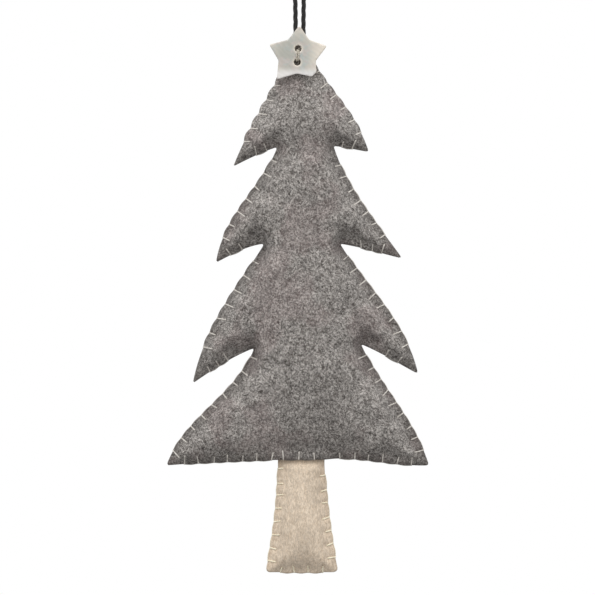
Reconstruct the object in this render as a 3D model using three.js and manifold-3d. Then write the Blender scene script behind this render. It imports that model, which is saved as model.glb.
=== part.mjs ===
// A stuffed felt tree ornament: two felt panels joined by blanket stitch round a soft filling,
// a felt trunk tucked into the hem, a shell star button and a hanging loop of cord.
// Millimetres, +Z up, the front faces -Y. The origin is where a hook bears on the loop.
import * as THREE from "three";
import { mergeVertices } from "three/addons/utils/BufferGeometryUtils.js";
import Module from "manifold-3d";

// Clearance left between pieces that touch on the real ornament.
const pieceGap = 0.3;

// Felt and stuffing.
const feltThickness = 1.2;
const seamWidth = 2; // flat border between the cut edge and the swell
const treeSwell = 6.8; // height of the swell above the seam, on each face
const trunkSwell = 3.6;
const swellReach = 11; // distance from a seam over which the felt still rises
const swellPower = 0.5; // below 1 the swell is steep at the seam and full in the middle
const hemThinning = 0.38; // share of the swell that the loosely stuffed hem of the tree lacks
const hemThinHeight = 32; // height above the base line at which the tree is stuffed in full
const leastFilling = 1.6; // half thickness at which the filling stops short of the seam
const seamRamp = 7; // length over which the seam closes again beside the cord or the trunk

// Tree outline, cut by hand, so left and right differ. Heights are from the base line, reaches
// sideways from the line of the cord. Each tier has a branch tip and the notch under it. Bows
// are how far the two middle control points of an edge stand out from its chord.
const treeHeight = 120.6; // to the apex before it is rounded
const apexX = -0.1;
const apexRound = 4;
const upperRight = { reach: 19.0, height: 87.4, notchReach: 9.7, notchHeight: 88.6 };
const upperLeft = { reach: 18.2, height: 83.4, notchReach: 6.4, notchHeight: 88.2 };
const middleRight = { reach: 28.3, height: 57.6, notchReach: 11.7, notchHeight: 61.0 };
const middleLeft = { reach: 23.2, height: 56.7, notchReach: 10.0, notchHeight: 60.8 };
const lowerRight = { reach: 33.0, height: 25.4, notchReach: 17.7, notchHeight: 32.8 };
const lowerLeft = { reach: 29.8, height: 22.9, notchReach: 12.9, notchHeight: 32.0 };
const baseRightReach = 36.0;
const baseLeftReach = 37.0;
const baseDroop = 0.75; // how far the base corners hang under the base line
const hemRise = 0.6; // how far the hem is lifted where the trunk enters it
const rightTiers = [
  { ...upperRight, slopeBow: [-2.4, 2.9], underBow: [0, 0] },
  { ...middleRight, slopeBow: [-3.0, -0.6], underBow: [0, 0] },
  { ...lowerRight, slopeBow: [0.2, 5.0], underBow: [0, 0] },
];
const leftTiers = [
  { ...upperLeft, slopeBow: [-0.3, 1.9], underBow: [0, 0] },
  { ...middleLeft, slopeBow: [-0.4, 4.9], underBow: [-0.6, -0.6] },
  { ...lowerLeft, slopeBow: [2.2, 5.0], underBow: [-0.5, -0.5] },
];
const baseRight = { slopeBow: [-1.0, 3.0], hemBow: [2.0, -1.6] };
const baseLeft = { slopeBow: [-3.2, 4.7], hemBow: [0, 0] };
const tipRound = 1.1; // length of edge taken up by the rounding of a branch tip
const notchRound = 0.9;

// Trunk.
const trunkX = 0.4;
const trunkTopWidth = 13.4;
const trunkFootWidth = 20.2;
const trunkLength = 30.6;
const trunkTuck = 6; // length hidden between the tree panels
const trunkFlat = 3.2; // length under the hem that the hem still holds flat
const trunkSideBow = [-0.7, -1.0];
const trunkCornerRound = 1.8;

// Blanket stitch.
const threadDiameter = 0.45;
const stitchPitch = 3.9;
const stitchBite = 1.9; // visible length of a stitch on the face of the felt
const notchClear = 4; // distance from a notch to the stitches beside it

// Star button and the thread that sews it on.
const starX = -0.5;
const starDrop = 4.8; // from the rounded tip of the tree down to the middle of the star
const starRadius = 8.75; // to its longest points, before they are rounded
const starWaist = 5.4; // radius of the inner corners
const starDraw = 24; // distance from its middle over which its thread draws the felt in
// The points clockwise from the top: how far each falls short of the radius, and how much of
// its edges the rounding takes up.
const starPoints = [
  { short: 0, round: 1.8 },
  { short: 0, round: 0.7 },
  { short: 1.4, round: 0.9 },
  { short: 0.3, round: 0.8 },
  { short: 0.1, round: 0.7 },
];
const waistRound = 0.6;
const starThickness = 1.6;
const starBevel = 0.35;
const starLean = 3.5; // degrees, clockwise from the front
const holeDiameter = 1.9;
const holeSpacing = 3.8;
const buttonThreadDiameter = 0.9;

// Hanging cord: its line from the left strand, over the top bend and down the right strand,
// as x and z from the point where a hook bears. The two ends hinge over the tip of the tree.
const cordDiameter = 1.25;
const cordRoute = [
  [-1.1, -46], [-1.12, -41], [-1.2, -36], [-1.35, -31], [-1.65, -25], [-2.05, -18],
  [-2.5, -12], [-2.9, -7.5], [-3.15, -4.6], [-3.2, -2.6], [-2.77, -0.97], [-1.6, 0.2],
  [0, 0.625],
  [1.6, 0.2], [2.77, -0.97], [3.2, -2.6], [3.15, -4.6], [2.9, -7.5], [2.5, -12],
  [2.05, -18], [1.65, -25], [1.35, -31], [1.2, -36], [1.12, -41], [1.1, -46],
];
const cordSteps = 64;
const knotDepth = 21; // from the tip of the tree down to the knot inside it
const knotHeight = 4.2;
const knotTurns = 2;

// Fineness of the facets.
const treeFacet = 3; // spacing of points along the edge of the tree panels
const trunkFacet = 2;
const openFacet = 1.8; // spacing away from the edge, as a multiple of the spacing along it
const fieldCell = 1.5;
const cordSides = 8;

const seamHalf = pieceGap / 2;
const cordRadius = cordDiameter / 2;
const threadRadius = threadDiameter / 2;
const strandX = Math.abs(cordRoute[0][0]);
const { smoothstep, degToRad } = THREE.MathUtils;

const weldDistance = 1e-4; // points nearer than this are one point
const wasm = await Module();
wasm.setup();

function toSolid(geometry) {
  const bare = new THREE.BufferGeometry();
  bare.setAttribute("position", geometry.getAttribute("position"));
  bare.setIndex(geometry.index);
  const merged = mergeVertices(bare, weldDistance);
  return new wasm.Manifold(
    new wasm.Mesh({
      numProp: 3,
      vertProperties: merged.attributes.position.array,
      triVerts: new Uint32Array(merged.index.array),
    }),
  );
}

function fromSolid(solid) {
  const { vertProperties, triVerts } = solid.getMesh();
  return new THREE.BufferGeometry()
    .setAttribute("position", new THREE.BufferAttribute(vertProperties, 3))
    .setIndex(new THREE.BufferAttribute(triVerts, 1));
}

function indexed(points, faces) {
  return new THREE.BufferGeometry()
    .setAttribute("position", new THREE.Float32BufferAttribute(points.flat(), 3))
    .setIndex(faces);
}

// Outlines: corners joined by bowed edges, going round clockwise as seen from the front.
function cutOutline(corners) {
  return corners.map((corner, i) => {
    const from = new THREE.Vector2(...corner.at);
    const to = new THREE.Vector2(...corners[(i + 1) % corners.length].at);
    const chord = to.clone().sub(from);
    const out = new THREE.Vector2(-chord.y, chord.x).normalize();
    const [bowA, bowB] = corner.bow ?? [0, 0];
    const control = (share, bow) => from.clone().addScaledVector(chord, share).addScaledVector(out, bow);
    const curve = new THREE.CubicBezierCurve(from, control(1 / 3, bowA), control(2 / 3, bowB), to);
    return { ...corner, point: from, curve, length: curve.getLength() };
  });
}

function leftOf(direction) {
  return new THREE.Vector2(-direction.y, direction.x);
}

// A place on an edge, a given length from its start, with the direction out of the felt.
function edgePlace(edge, along) {
  const share = along / edge.length;
  return { at: edge.curve.getPointAt(share), out: leftOf(edge.curve.getTangentAt(share)) };
}

// The rounding of a corner: where it starts, its middle and where it ends.
function cornerPlaces(edges, i) {
  const edge = edges[i];
  const before = edges[(i + edges.length - 1) % edges.length];
  const start = edgePlace(before, before.length - edge.round);
  const end = edgePlace(edge, edge.round);
  const middle = new THREE.QuadraticBezierCurve(start.at, edge.point, end.at).getPoint(0.5);
  return [start, { at: middle, out: start.out.clone().add(end.out).normalize() }, end];
}

function outlinePoints(edges, facet) {
  return edges.flatMap((edge, i) => {
    const next = edges[(i + 1) % edges.length];
    const run = edge.length - edge.round - next.round;
    const count = Math.max(1, Math.round(run / facet));
    const along = (k) => edgePlace(edge, edge.round + (run * k) / count).at;
    const inner = Array.from({ length: count - 1 }, (_, k) => along(k + 1));
    return [...cornerPlaces(edges, i).map((place) => place.at), ...inner];
  });
}

function isInside(outline, p) {
  let inside = false;
  outline.forEach((a, i) => {
    const b = outline[(i + 1) % outline.length];
    if (a.y > p.y === b.y > p.y) return;
    const crossing = a.x + ((b.x - a.x) * (p.y - a.y)) / (b.y - a.y);
    if (p.x < crossing) inside = !inside;
  });
  return inside;
}

function edgeDistance(outline, p) {
  let nearest = Infinity;
  outline.forEach((a, i) => {
    const b = outline[(i + 1) % outline.length];
    const share = ((p.x - a.x) * (b.x - a.x) + (p.y - a.y) * (b.y - a.y)) / a.distanceToSquared(b);
    const foot = a.clone().lerp(b, THREE.MathUtils.clamp(share, 0, 1));
    nearest = Math.min(nearest, foot.distanceTo(p));
  });
  return nearest;
}

// Delaunay triangles of scattered points, counter-clockwise, made by adding one point at a time.
function delaunay(points) {
  const far = 1e4; // corners of a triangle that holds every point
  const outer = [[-far, -far], [far, -far], [0, far]].map((p) => new THREE.Vector2(...p));
  const all = [...points, ...outer];
  const withCircle = (corners) => {
    const [a, b, c] = corners.map((k) => all[k]);
    const u = b.clone().sub(a);
    const v = c.clone().sub(a);
    const twice = 2 * u.cross(v);
    const centre = new THREE.Vector2(
      a.x + (v.y * u.lengthSq() - u.y * v.lengthSq()) / twice,
      a.y + (u.x * v.lengthSq() - v.x * u.lengthSq()) / twice,
    );
    return { corners, centre, reach: centre.distanceToSquared(a) };
  };
  let triangles = [withCircle([points.length, points.length + 1, points.length + 2])];
  points.forEach((p, i) => {
    const rim = new Map();
    triangles = triangles.filter(({ corners, centre, reach }) => {
      if (centre.distanceToSquared(p) > reach) return true;
      corners.forEach((a, k) => {
        const b = corners[(k + 1) % 3];
        if (!rim.delete(`${b} ${a}`)) rim.set(`${a} ${b}`, [a, b, i]);
      });
      return false;
    });
    triangles.push(...[...rim.values()].map(withCircle));
  });
  return triangles.map((t) => t.corners).filter((corners) => corners.every((k) => k < points.length));
}

// Triangles over an outline, with rows of points along the seam so that the swell starts cleanly.
function feltMesh(outline, facet) {
  const smallest = 0.02; // area below which a triangle on a straight edge is only rounding
  const rowSlack = 0.96; // a point this near to its row's distance from the edge still counts
  const rows = [
    { inset: seamWidth, clear: 0.55 * facet },
    { inset: seamWidth + facet, clear: 0.7 * facet },
  ];
  const openInset = seamWidth + 1.6 * facet;
  const points = [...outline];
  const add = (p, clear) => {
    if (points.every((q) => q.distanceTo(p) > clear)) points.push(p);
  };
  for (const { inset, clear } of rows) {
    const addInset = (from, inward) => {
      const p = from.clone().addScaledVector(inward, inset);
      if (isInside(outline, p) && edgeDistance(outline, p) > inset * rowSlack) add(p, clear);
    };
    outline.forEach((a, i) => {
      const b = outline[(i + 1) % outline.length];
      const c = outline[(i + 2) % outline.length];
      const inward = leftOf(a.clone().sub(b).normalize());
      const nextInward = leftOf(b.clone().sub(c).normalize());
      const turn = Math.atan2(inward.cross(nextInward), inward.dot(nextInward));
      const fan = Math.floor((turn * inset) / clear);
      addInset(a.clone().lerp(b, 0.5), inward);
      for (let k = 1; k <= fan; k++) {
        addInset(b, inward.clone().rotateAround(new THREE.Vector2(), (turn * k) / (fan + 1)));
      }
    });
  }
  const box = new THREE.Box2().setFromPoints(outline);
  const open = openFacet * facet;
  const rowHeight = open * Math.sin(Math.PI / 3);
  for (let row = 0; box.min.y + row * rowHeight < box.max.y; row++) {
    for (let x = box.min.x + (row % 2) * (open / 2); x < box.max.x; x += open) {
      const p = new THREE.Vector2(x, box.min.y + row * rowHeight);
      if (isInside(outline, p) && edgeDistance(outline, p) > openInset) add(p, facet);
    }
  }
  const triangles = delaunay(points).filter((corners) => {
    const [a, b, c] = corners.map((k) => points[k]);
    const area = b.clone().sub(a).cross(c.clone().sub(a)) / 2;
    const middle = a.clone().add(b).add(c).divideScalar(3);
    return area > smallest && isInside(outline, middle);
  });
  return { points, triangles };
}

// Height of a sheet blown up by stuffing: a stretched membrane under even pressure, held down
// along the seam and wherever isHeld says so.
function swellField(outline, height, isHeld) {
  const sweeps = 260;
  const overshoot = 1.7; // each sweep goes past the balance point to settle sooner
  const seamSlack = 1.02; // the row of points on the seam may stray this far
  const lastCell = 1.001; // keeps a place on the far border inside the last cell
  const box = new THREE.Box2().setFromPoints(outline);
  const columns = Math.ceil((box.max.x - box.min.x) / fieldCell) + 1;
  const rows = Math.ceil((box.max.y - box.min.y) / fieldCell) + 1;
  const place = (i, k) => new THREE.Vector2(box.min.x + i * fieldCell, box.min.y + k * fieldCell);
  const free = [];
  for (let k = 1; k < rows - 1; k++) {
    for (let i = 1; i < columns - 1; i++) {
      const p = place(i, k);
      const pastSeam = isInside(outline, p) && edgeDistance(outline, p) > seamWidth;
      if (pastSeam && !isHeld(p)) free.push(k * columns + i);
    }
  }
  const level = new Float64Array(columns * rows);
  const stiffness = 4 + (fieldCell / swellReach) ** 2;
  for (let sweep = 0; sweep < sweeps; sweep++) {
    for (const n of free) {
      const around = level[n - 1] + level[n + 1] + level[n - columns] + level[n + columns];
      level[n] += overshoot * ((around + 1) / stiffness - level[n]);
    }
  }
  const top = level.reduce((a, b) => Math.max(a, b));
  const rise = level.map((value) => height * (value / top) ** swellPower);
  return (p) => {
    if (edgeDistance(outline, p) < seamSlack * seamWidth) return 0;
    const u = THREE.MathUtils.clamp((p.x - box.min.x) / fieldCell, 0, columns - lastCell);
    const v = THREE.MathUtils.clamp((p.y - box.min.y) / fieldCell, 0, rows - lastCell);
    const n = Math.floor(v) * columns + Math.floor(u);
    const low = THREE.MathUtils.lerp(rise[n], rise[n + 1], u % 1);
    const high = THREE.MathUtils.lerp(rise[n + columns], rise[n + columns + 1], u % 1);
    return THREE.MathUtils.lerp(low, high, v % 1);
  };
}

// A closed body over some triangles, between the front and back y that each point has.
function sheetBody(mesh, triangles, frontY, backY) {
  const used = [...new Set(triangles.flat())];
  const place = new Map(used.map((k, i) => [k, i]));
  const layer = (y) => used.map((k) => [mesh.points[k].x, y(mesh.points[k]), mesh.points[k].y]);
  const count = used.length;
  const faces = [];
  const rim = new Map();
  for (const corners of triangles) {
    const [a, b, c] = corners.map((k) => place.get(k));
    faces.push(a, b, c, a + count, c + count, b + count);
    for (const [from, to] of [[a, b], [b, c], [c, a]]) {
      if (!rim.delete(`${to} ${from}`)) rim.set(`${from} ${to}`, [from, to]);
    }
  }
  for (const [a, b] of rim.values()) faces.push(a, b + count, b, a, a + count, b + count);
  return indexed([...layer(frontY), ...layer(backY)], faces);
}

// The largest group of triangles that share edges and keep every corner.
function connectedPatch(triangles, keep) {
  const kept = triangles.filter((corners) => corners.every(keep));
  const byEdge = new Map();
  const edgeKey = (a, b) => `${Math.min(a, b)} ${Math.max(a, b)}`;
  const keys = (corners) => corners.map((a, k) => edgeKey(a, corners[(k + 1) % 3]));
  for (const corners of kept) {
    for (const key of keys(corners)) byEdge.set(key, [...(byEdge.get(key) ?? []), corners]);
  }
  const left = new Set(kept);
  let largest = [];
  while (left.size) {
    const [first] = left;
    left.delete(first);
    const patch = [first];
    for (const corners of patch) {
      for (const near of keys(corners).flatMap((key) => byEdge.get(key))) {
        if (left.delete(near)) patch.push(near);
      }
    }
    if (patch.length > largest.length) largest = patch;
  }
  return largest;
}

// Where the stitches stand along edges first to last: one on each tip, the rest evenly between.
// Each place has its point on the cut edge and the direction out of the felt. Places without
// a stitch only guide the purl round a corner.
function stitchPlaces(edges, first, last, startInset, endInset) {
  const places = [];
  for (let i = first; i <= last; i++) {
    const edge = edges[i];
    const next = edges[(i + 1) % edges.length];
    const startsOnTip = i > first && edge.kind === "tip";
    const endsOnTip = i < last && next.kind === "tip";
    const from = startsOnTip ? 0 : i === first ? startInset : notchClear;
    const to = edge.length - (endsOnTip ? 0 : i === last ? endInset : notchClear);
    const count = Math.max(1, Math.round((to - from) / stitchPitch));
    for (let k = startsOnTip ? 1 : 0; k <= (endsOnTip ? count - 1 : count); k++) {
      places.push({ ...edgePlace(edge, from + ((to - from) * k) / count), stitch: true });
    }
    if (i === last) continue;
    const [start, middle, end] = cornerPlaces(edges, (i + 1) % edges.length);
    if (endsOnTip) {
      places.push(start, { ...middle, stitch: true }, end);
    } else {
      const arrive = leftOf(start.out);
      const leave = leftOf(end.out).negate();
      const half = arrive.angleTo(leave) / 2;
      const clear = (pieceGap + threadRadius) / Math.sin(half);
      const lift = clear - pieceGap - threadRadius;
      places.push({ at: next.point.clone().addScaledVector(middle.out, lift), out: middle.out });
    }
  }
  return places;
}

// One run of blanket stitch as a single closed body: a purl along the cut edge, with a bar over
// the front and a bar over the back of the felt at each stitch.
function blanketStitch(places, { runDepth, faceDepth, bite, sides }) {
  const points = [];
  const faces = [];
  const quad = (a, b, c, d) => faces.push(a, b, c, a, c, d);
  const vertex = (p, depth) => points.push([p.x, -depth, p.y]) - 1;
  const section = (centre, out) => {
    const outer = centre.clone().addScaledVector(out, threadRadius);
    const inner = centre.clone().addScaledVector(out, -threadRadius);
    const front = runDepth + threadRadius;
    const back = runDepth - threadRadius;
    const corners = [
      vertex(outer, front), vertex(outer, back), vertex(inner, back), vertex(inner, front),
    ];
    return { corners, outer, inner };
  };
  const tube = (a, b, skipped) => {
    for (let k = 0; k < 4; k++) {
      const n = (k + 1) % 4;
      if (!skipped.includes(k)) quad(a[k], b[k], b[n], a[n]);
    }
  };
  const leg = (before, after, out, reach, depth, side) => {
    const inner = depth * side;
    const outer = (depth + threadDiameter) * side;
    const end = (p) => p.clone().addScaledVector(out, -reach);
    const elbow = [
      [before.inner, inner], [after.inner, inner], [after.outer, outer], [before.outer, outer],
    ];
    const bar = [
      [end(before.inner), inner], [end(after.inner), inner],
      [end(after.inner), outer], [end(before.inner), outer],
    ];
    const order = side > 0 ? [0, 1, 2, 3] : [3, 2, 1, 0];
    const root = [before.corners[side > 0 ? 3 : 2], after.corners[side > 0 ? 3 : 2],
      after.corners[side > 0 ? 0 : 1], before.corners[side > 0 ? 0 : 1]];
    const rings = [
      order.map((k) => root[k]),
      order.map((k) => vertex(...elbow[k])),
      order.map((k) => vertex(...bar[k])),
    ];
    for (let r = 0; r < 2; r++) {
      for (let k = 0; k < 4; k++) {
        const n = (k + 1) % 4;
        quad(rings[r][k], rings[r][n], rings[r + 1][n], rings[r + 1][k]);
      }
    }
    quad(...rings[2]);
  };
  let last = null;
  const joinTo = (next) => {
    if (last) tube(last.corners, next.corners, []);
    else quad(...next.corners);
    last = next;
  };
  for (const { at, out, stitch } of places) {
    const centre = at.clone().addScaledVector(out, pieceGap + threadRadius);
    if (!stitch) {
      joinTo(section(centre, out));
      continue;
    }
    const along = leftOf(out).multiplyScalar(-threadRadius);
    const before = section(centre.clone().sub(along), out);
    const after = section(centre.clone().add(along), out);
    const length = bite(at, out);
    const depth = faceDepth(at, out, length) + pieceGap;
    joinTo(before);
    const skipped = [sides.includes(1) ? 3 : -1, sides.includes(-1) ? 1 : -1];
    tube(before.corners, after.corners, skipped);
    sides.forEach((side) => leg(before, after, out, pieceGap + length, depth, side));
    last = after;
  }
  const [a, b, c, d] = last.corners;
  quad(a, d, c, b);
  return indexed(points, faces);
}

// The tree's outline, clockwise from the apex.
const trunkHalf = trunkTopWidth / 2;
const tierCorners = (tier, side, tipBow, notchBow) => [
  { at: [side * tier.reach, tier.height], bow: tipBow, kind: "tip", round: tipRound },
  { at: [side * tier.notchReach, tier.notchHeight], bow: notchBow, kind: "notch", round: notchRound },
];
const flip = ([a, b]) => [b, a];
const treeCorners = [
  { at: [apexX, treeHeight], bow: rightTiers[0].slopeBow, kind: "tip", round: apexRound },
  ...rightTiers.flatMap((tier, i) => {
    const nextSlope = rightTiers[i + 1]?.slopeBow ?? baseRight.slopeBow;
    return tierCorners(tier, 1, tier.underBow, nextSlope);
  }),
  { at: [baseRightReach, -baseDroop], bow: baseRight.hemBow, kind: "tip", round: tipRound },
  { at: [trunkX + trunkHalf, hemRise], kind: "hem", round: tipRound },
  { at: [trunkX - trunkHalf, hemRise], bow: baseLeft.hemBow, kind: "hem", round: tipRound },
  { at: [-baseLeftReach, -baseDroop], bow: flip(baseLeft.slopeBow), kind: "tip", round: tipRound },
  ...leftTiers.toReversed().flatMap((tier) => {
    return tierCorners(tier, -1, flip(tier.slopeBow), flip(tier.underBow)).reverse();
  }),
];
const treeEdges = cutOutline(treeCorners);
const treeOutline = outlinePoints(treeEdges, treeFacet);
const treeTip = Math.max(...treeOutline.map((p) => p.y));

// The trunk's outline, clockwise from its top left corner.
const trunkFoot = trunkFootWidth / 2;
const trunkCorners = [
  { at: [trunkX - trunkHalf, trunkTuck], kind: "top" },
  { at: [trunkX + trunkHalf, trunkTuck], kind: "top" },
  { at: [trunkX + trunkHalf, 0], bow: trunkSideBow, kind: "hem" },
  { at: [trunkX + trunkFoot, -trunkLength], kind: "tip" },
  { at: [trunkX - trunkFoot, -trunkLength], bow: flip(trunkSideBow), kind: "tip" },
  { at: [trunkX - trunkHalf, 0], kind: "hem" },
].map((corner) => ({ ...corner, round: trunkCornerRound }));
const trunkEdges = cutOutline(trunkCorners);
const trunkOutline = outlinePoints(trunkEdges, trunkFacet);

// Star button: its middle, and its two holes one above the other along its lean.
const starMiddle = new THREE.Vector2(starX, treeTip - starDrop);
const starUp = new THREE.Vector2(Math.sin(degToRad(starLean)), Math.cos(degToRad(starLean)));
const holeMiddles = [1, -1].map((side) => {
  return starMiddle.clone().addScaledVector(starUp, (side * holeSpacing) / 2);
});

// Depth of the inner face of a tree panel from the middle plane. The seam opens at the tip for
// the two strands of the cord and at the hem for the trunk. The button draws the felt flat, and
// the hem is stuffed more loosely than the tiers over it.
const seamMargin = treeFacet + pieceGap;
const knotTop = treeTip - knotDepth;
const tipLift = cordRadius + pieceGap - seamHalf;
const trunkLift = feltThickness + pieceGap;
const treeRise = swellField(treeOutline, treeSwell, () => false);
const trunkRise = swellField(trunkOutline, trunkSwell, (p) => p.y > -trunkFlat);

function treeDepth(p) {
  const fade = (value, start) => 1 - smoothstep(value, start, start + seamRamp);
  const besideCord = fade(Math.abs(p.x), strandX + cordRadius + seamMargin);
  const besideTrunk = fade(Math.abs(p.x - trunkX), trunkHalf + seamMargin);
  const atTip = besideCord * fade(knotTop - p.y, seamMargin);
  const atHem = besideTrunk * fade(p.y - trunkTuck, seamMargin);
  const drawn = smoothstep(p.distanceTo(starMiddle), starRadius, starDraw);
  const stuffed = 1 - hemThinning * (1 - smoothstep(p.y, 0, hemThinHeight));
  return seamHalf + Math.max(treeRise(p) * drawn * stuffed, tipLift * atTip, trunkLift * atHem);
}

function trunkDepth(p) {
  return seamHalf + trunkRise(p);
}

const finish = (color, roughness) => new THREE.MeshStandardMaterial({ color, roughness, metalness: 0 });
const greyFelt = finish(0x84807c, 0.95);
const beigeFelt = finish(0xcebda9, 0.95);
const stuffing = finish(0xeeece6, 0.95);
const greyThread = finish(0xbeb9b2, 0.7);
const creamThread = finish(0xefe5cc, 0.7);
const shell = finish(0xbfc0b8, 0.25);
const blackCord = finish(0x1e1e20, 0.75);

function named(name, geometry, material) {
  const mesh = new THREE.Mesh(geometry, material);
  mesh.name = name;
  return mesh;
}

// Front panel, back panel and filling of a stuffed piece.
function stuffedPiece(outline, depth, facet) {
  const mesh = feltMesh(outline, facet);
  const panel = (side) => {
    const near = (p) => side * depth(p);
    const far = (p) => side * (depth(p) + feltThickness);
    return sheetBody(mesh, mesh.triangles, side < 0 ? far : near, side < 0 ? near : far);
  };
  const thickness = (p) => depth(p) - pieceGap;
  const patch = connectedPatch(mesh.triangles, (k) => thickness(mesh.points[k]) > leastFilling);
  const filling = sheetBody(mesh, patch, (p) => -thickness(p), thickness);
  return { front: panel(-1), back: panel(1), filling };
}

const tree = stuffedPiece(treeOutline, treeDepth, treeFacet);
const trunk = stuffedPiece(trunkOutline, trunkDepth, trunkFacet);

// The cord's two inner strands and the knot that keeps them from pulling out: turns wound down
// round the strand that comes back up the middle.
const woundRadius = cordDiameter + pieceGap;
const strandTop = treeTip - pieceGap;
const knotBottom = knotTop - knotHeight;
const knotRoute = [
  [-strandX, 0, strandTop],
  [-strandX, 0, (strandTop + knotTop) / 2],
  [-woundRadius, 0, knotTop + cordDiameter],
];
const stepsPerTurn = 10;
const knotSteps = stepsPerTurn * knotTurns;
for (let i = 0; i <= knotSteps; i++) {
  const angle = Math.PI + (2 * Math.PI * knotTurns * i) / knotSteps;
  const height = knotTop - (knotHeight * i) / knotSteps;
  knotRoute.push([woundRadius * Math.cos(angle), woundRadius * Math.sin(angle), height]);
}
knotRoute.push(
  [-woundRadius / 2, 0, knotBottom - woundRadius / 2 - pieceGap],
  [0, 0, knotBottom],
  [0, 0, knotTop],
  [strandX, 0, (strandTop + knotTop) / 2],
  [strandX, 0, strandTop],
);
const circle = new THREE.Shape().absarc(0, 0, cordRadius, 0, 2 * Math.PI);
function cordTube(route, steps) {
  const extrudePath = new THREE.CatmullRomCurve3(route.map((p) => new THREE.Vector3(...p)));
  return new THREE.ExtrudeGeometry(circle, { steps, extrudePath, curveSegments: cordSides / 2 });
}
const knot = cordTube(knotRoute, cordSteps);

// The filling makes room for the strands, the knot and the top of the trunk.
const strandRoom = strandX + cordRadius + pieceGap;
const knotRoom = woundRadius + cordRadius + pieceGap;
const knotFloor = knotBottom - woundRadius - cordDiameter;
const knotCeiling = knotTop + 2 * cordDiameter;
const pastTip = treeTip + seamWidth;
const knotBed = new THREE.LatheGeometry(
  [
    [0, knotFloor], [knotRoom, knotFloor], [knotRoom, knotCeiling],
    [strandRoom, knotCeiling + knotRoom], [strandRoom, pastTip], [0, pastTip],
  ].map((p) => new THREE.Vector2(...p)),
  2 * cordSides,
).rotateX(Math.PI / 2);
const trunkRoom = new THREE.BoxGeometry(
  trunkTopWidth + 2 * pieceGap,
  2 * (seamHalf + feltThickness + pieceGap),
  2 * (trunkTuck + pieceGap),
).translate(trunkX, 0, 0);
const treeFilling = toSolid(tree.filling).subtract(toSolid(knotBed)).subtract(toSolid(trunkRoom));

// The star rests on the stitches at the tip of the tree.
const tipFace = seamHalf + tipLift + feltThickness;
const starBack = tipFace + pieceGap + threadDiameter + pieceGap;
const starFront = starBack + starThickness;

function starShape() {
  const shape = new THREE.Shape();
  const corners = starPoints.flatMap(({ short, round }) => [
    { radius: starRadius - short, round },
    { radius: starWaist, round: waistRound },
  ]);
  const count = corners.length;
  const place = (k) => {
    const up = new THREE.Vector2(0, corners[(k + count) % count].radius);
    return up.rotateAround(new THREE.Vector2(), (-2 * Math.PI * k) / count);
  };
  corners.forEach(({ round }, k) => {
    const [before, here, after] = [place(k - 1), place(k), place(k + 1)];
    const start = here.clone().addScaledVector(before.sub(here).normalize(), round);
    const end = here.clone().addScaledVector(after.sub(here).normalize(), round);
    if (k) shape.lineTo(start.x, start.y);
    else shape.moveTo(start.x, start.y);
    shape.quadraticCurveTo(here.x, here.y, end.x, end.y);
  });
  for (const side of [1, -1]) {
    const height = (side * holeSpacing) / 2;
    shape.holes.push(new THREE.Path().absarc(0, height, holeDiameter / 2, 0, 2 * Math.PI));
  }
  return shape;
}
const star = named(
  "star_button",
  new THREE.ExtrudeGeometry(starShape(), {
    depth: starThickness - 2 * starBevel,
    bevelThickness: starBevel,
    bevelSize: starBevel,
    bevelOffset: -starBevel,
    bevelSegments: 2,
    curveSegments: 4,
  })
    .translate(0, 0, starBevel)
    .rotateX(Math.PI / 2),
  shell,
);
star.position.set(starMiddle.x, -starBack, starMiddle.y);
star.rotation.y = degToRad(starLean);

// A rod of thread between two points.
function rod(from, to, radius) {
  const axis = to.clone().sub(from);
  const length = axis.length();
  const turn = new THREE.Quaternion().setFromUnitVectors(new THREE.Vector3(0, 1, 0), axis.normalize());
  return new THREE.CylinderGeometry(radius, radius, length, cordSides)
    .applyQuaternion(turn)
    .translate(...from.clone().lerp(to, 0.5));
}

// Button thread: a bar over the star between its holes, and a leg down each hole into the felt.
const buttonRadius = buttonThreadDiameter / 2;
const barDepth = starFront + pieceGap + buttonRadius;
const holeAt = (hole, depth) => new THREE.Vector3(hole.x, -depth, hole.y);
const legEnd = seamHalf + tipLift;
const threadLegs = holeMiddles.map((hole) => {
  return rod(holeAt(hole, barDepth), holeAt(hole, legEnd), buttonRadius);
});
const threadBar = new THREE.CapsuleGeometry(buttonRadius, holeSpacing, 2, cordSides)
  .rotateX(Math.PI / 2)
  .rotateY(degToRad(starLean))
  .translate(starMiddle.x, -barDepth, starMiddle.y);
const buttonThread = threadLegs.reduce((whole, leg) => whole.add(toSolid(leg)), toSolid(threadBar));
const threadHoles = holeMiddles.map((hole) => {
  return rod(holeAt(hole, starBack), holeAt(hole, 0), buttonRadius + pieceGap);
});
const pierce = (panel, hole) => panel.subtract(toSolid(hole));
const treeFront = threadHoles.reduce(pierce, toSolid(tree.front));

// Stitches. A bar stops short of the stitches on the far side of a point and of the button thread.
const barRoom = threadRadius + pieceGap;
function barLength(outline, obstacles) {
  const shortest = 0.6;
  const step = 0.1;
  return (at, out) => {
    let length = stitchBite;
    const isClear = () => {
      const reach = length + barRoom;
      const end = at.clone().addScaledVector(out, -reach);
      const isFree = (p) => p.distanceTo(end) > buttonRadius + 2 * barRoom;
      return edgeDistance(outline, end) > reach - step && obstacles.every(isFree);
    };
    while (length > shortest && !isClear()) length -= step;
    return length;
  };
}

// Depth of the felt's face under a whole bar.
function barFace(depth, facet) {
  const samples = 5;
  const aside = 0.6 * facet; // how far to the side a facet of the felt still lifts a bar
  return (at, out, length) => {
    let deepest = 0;
    for (let k = 0; k < samples; k++) {
      for (const side of [-1, 0, 1]) {
        const p = at.clone().addScaledVector(out, (-length * k) / (samples - 1));
        deepest = Math.max(deepest, depth(p.addScaledVector(leftOf(out), side * aside)));
      }
    }
    return deepest + feltThickness;
  };
}

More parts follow.
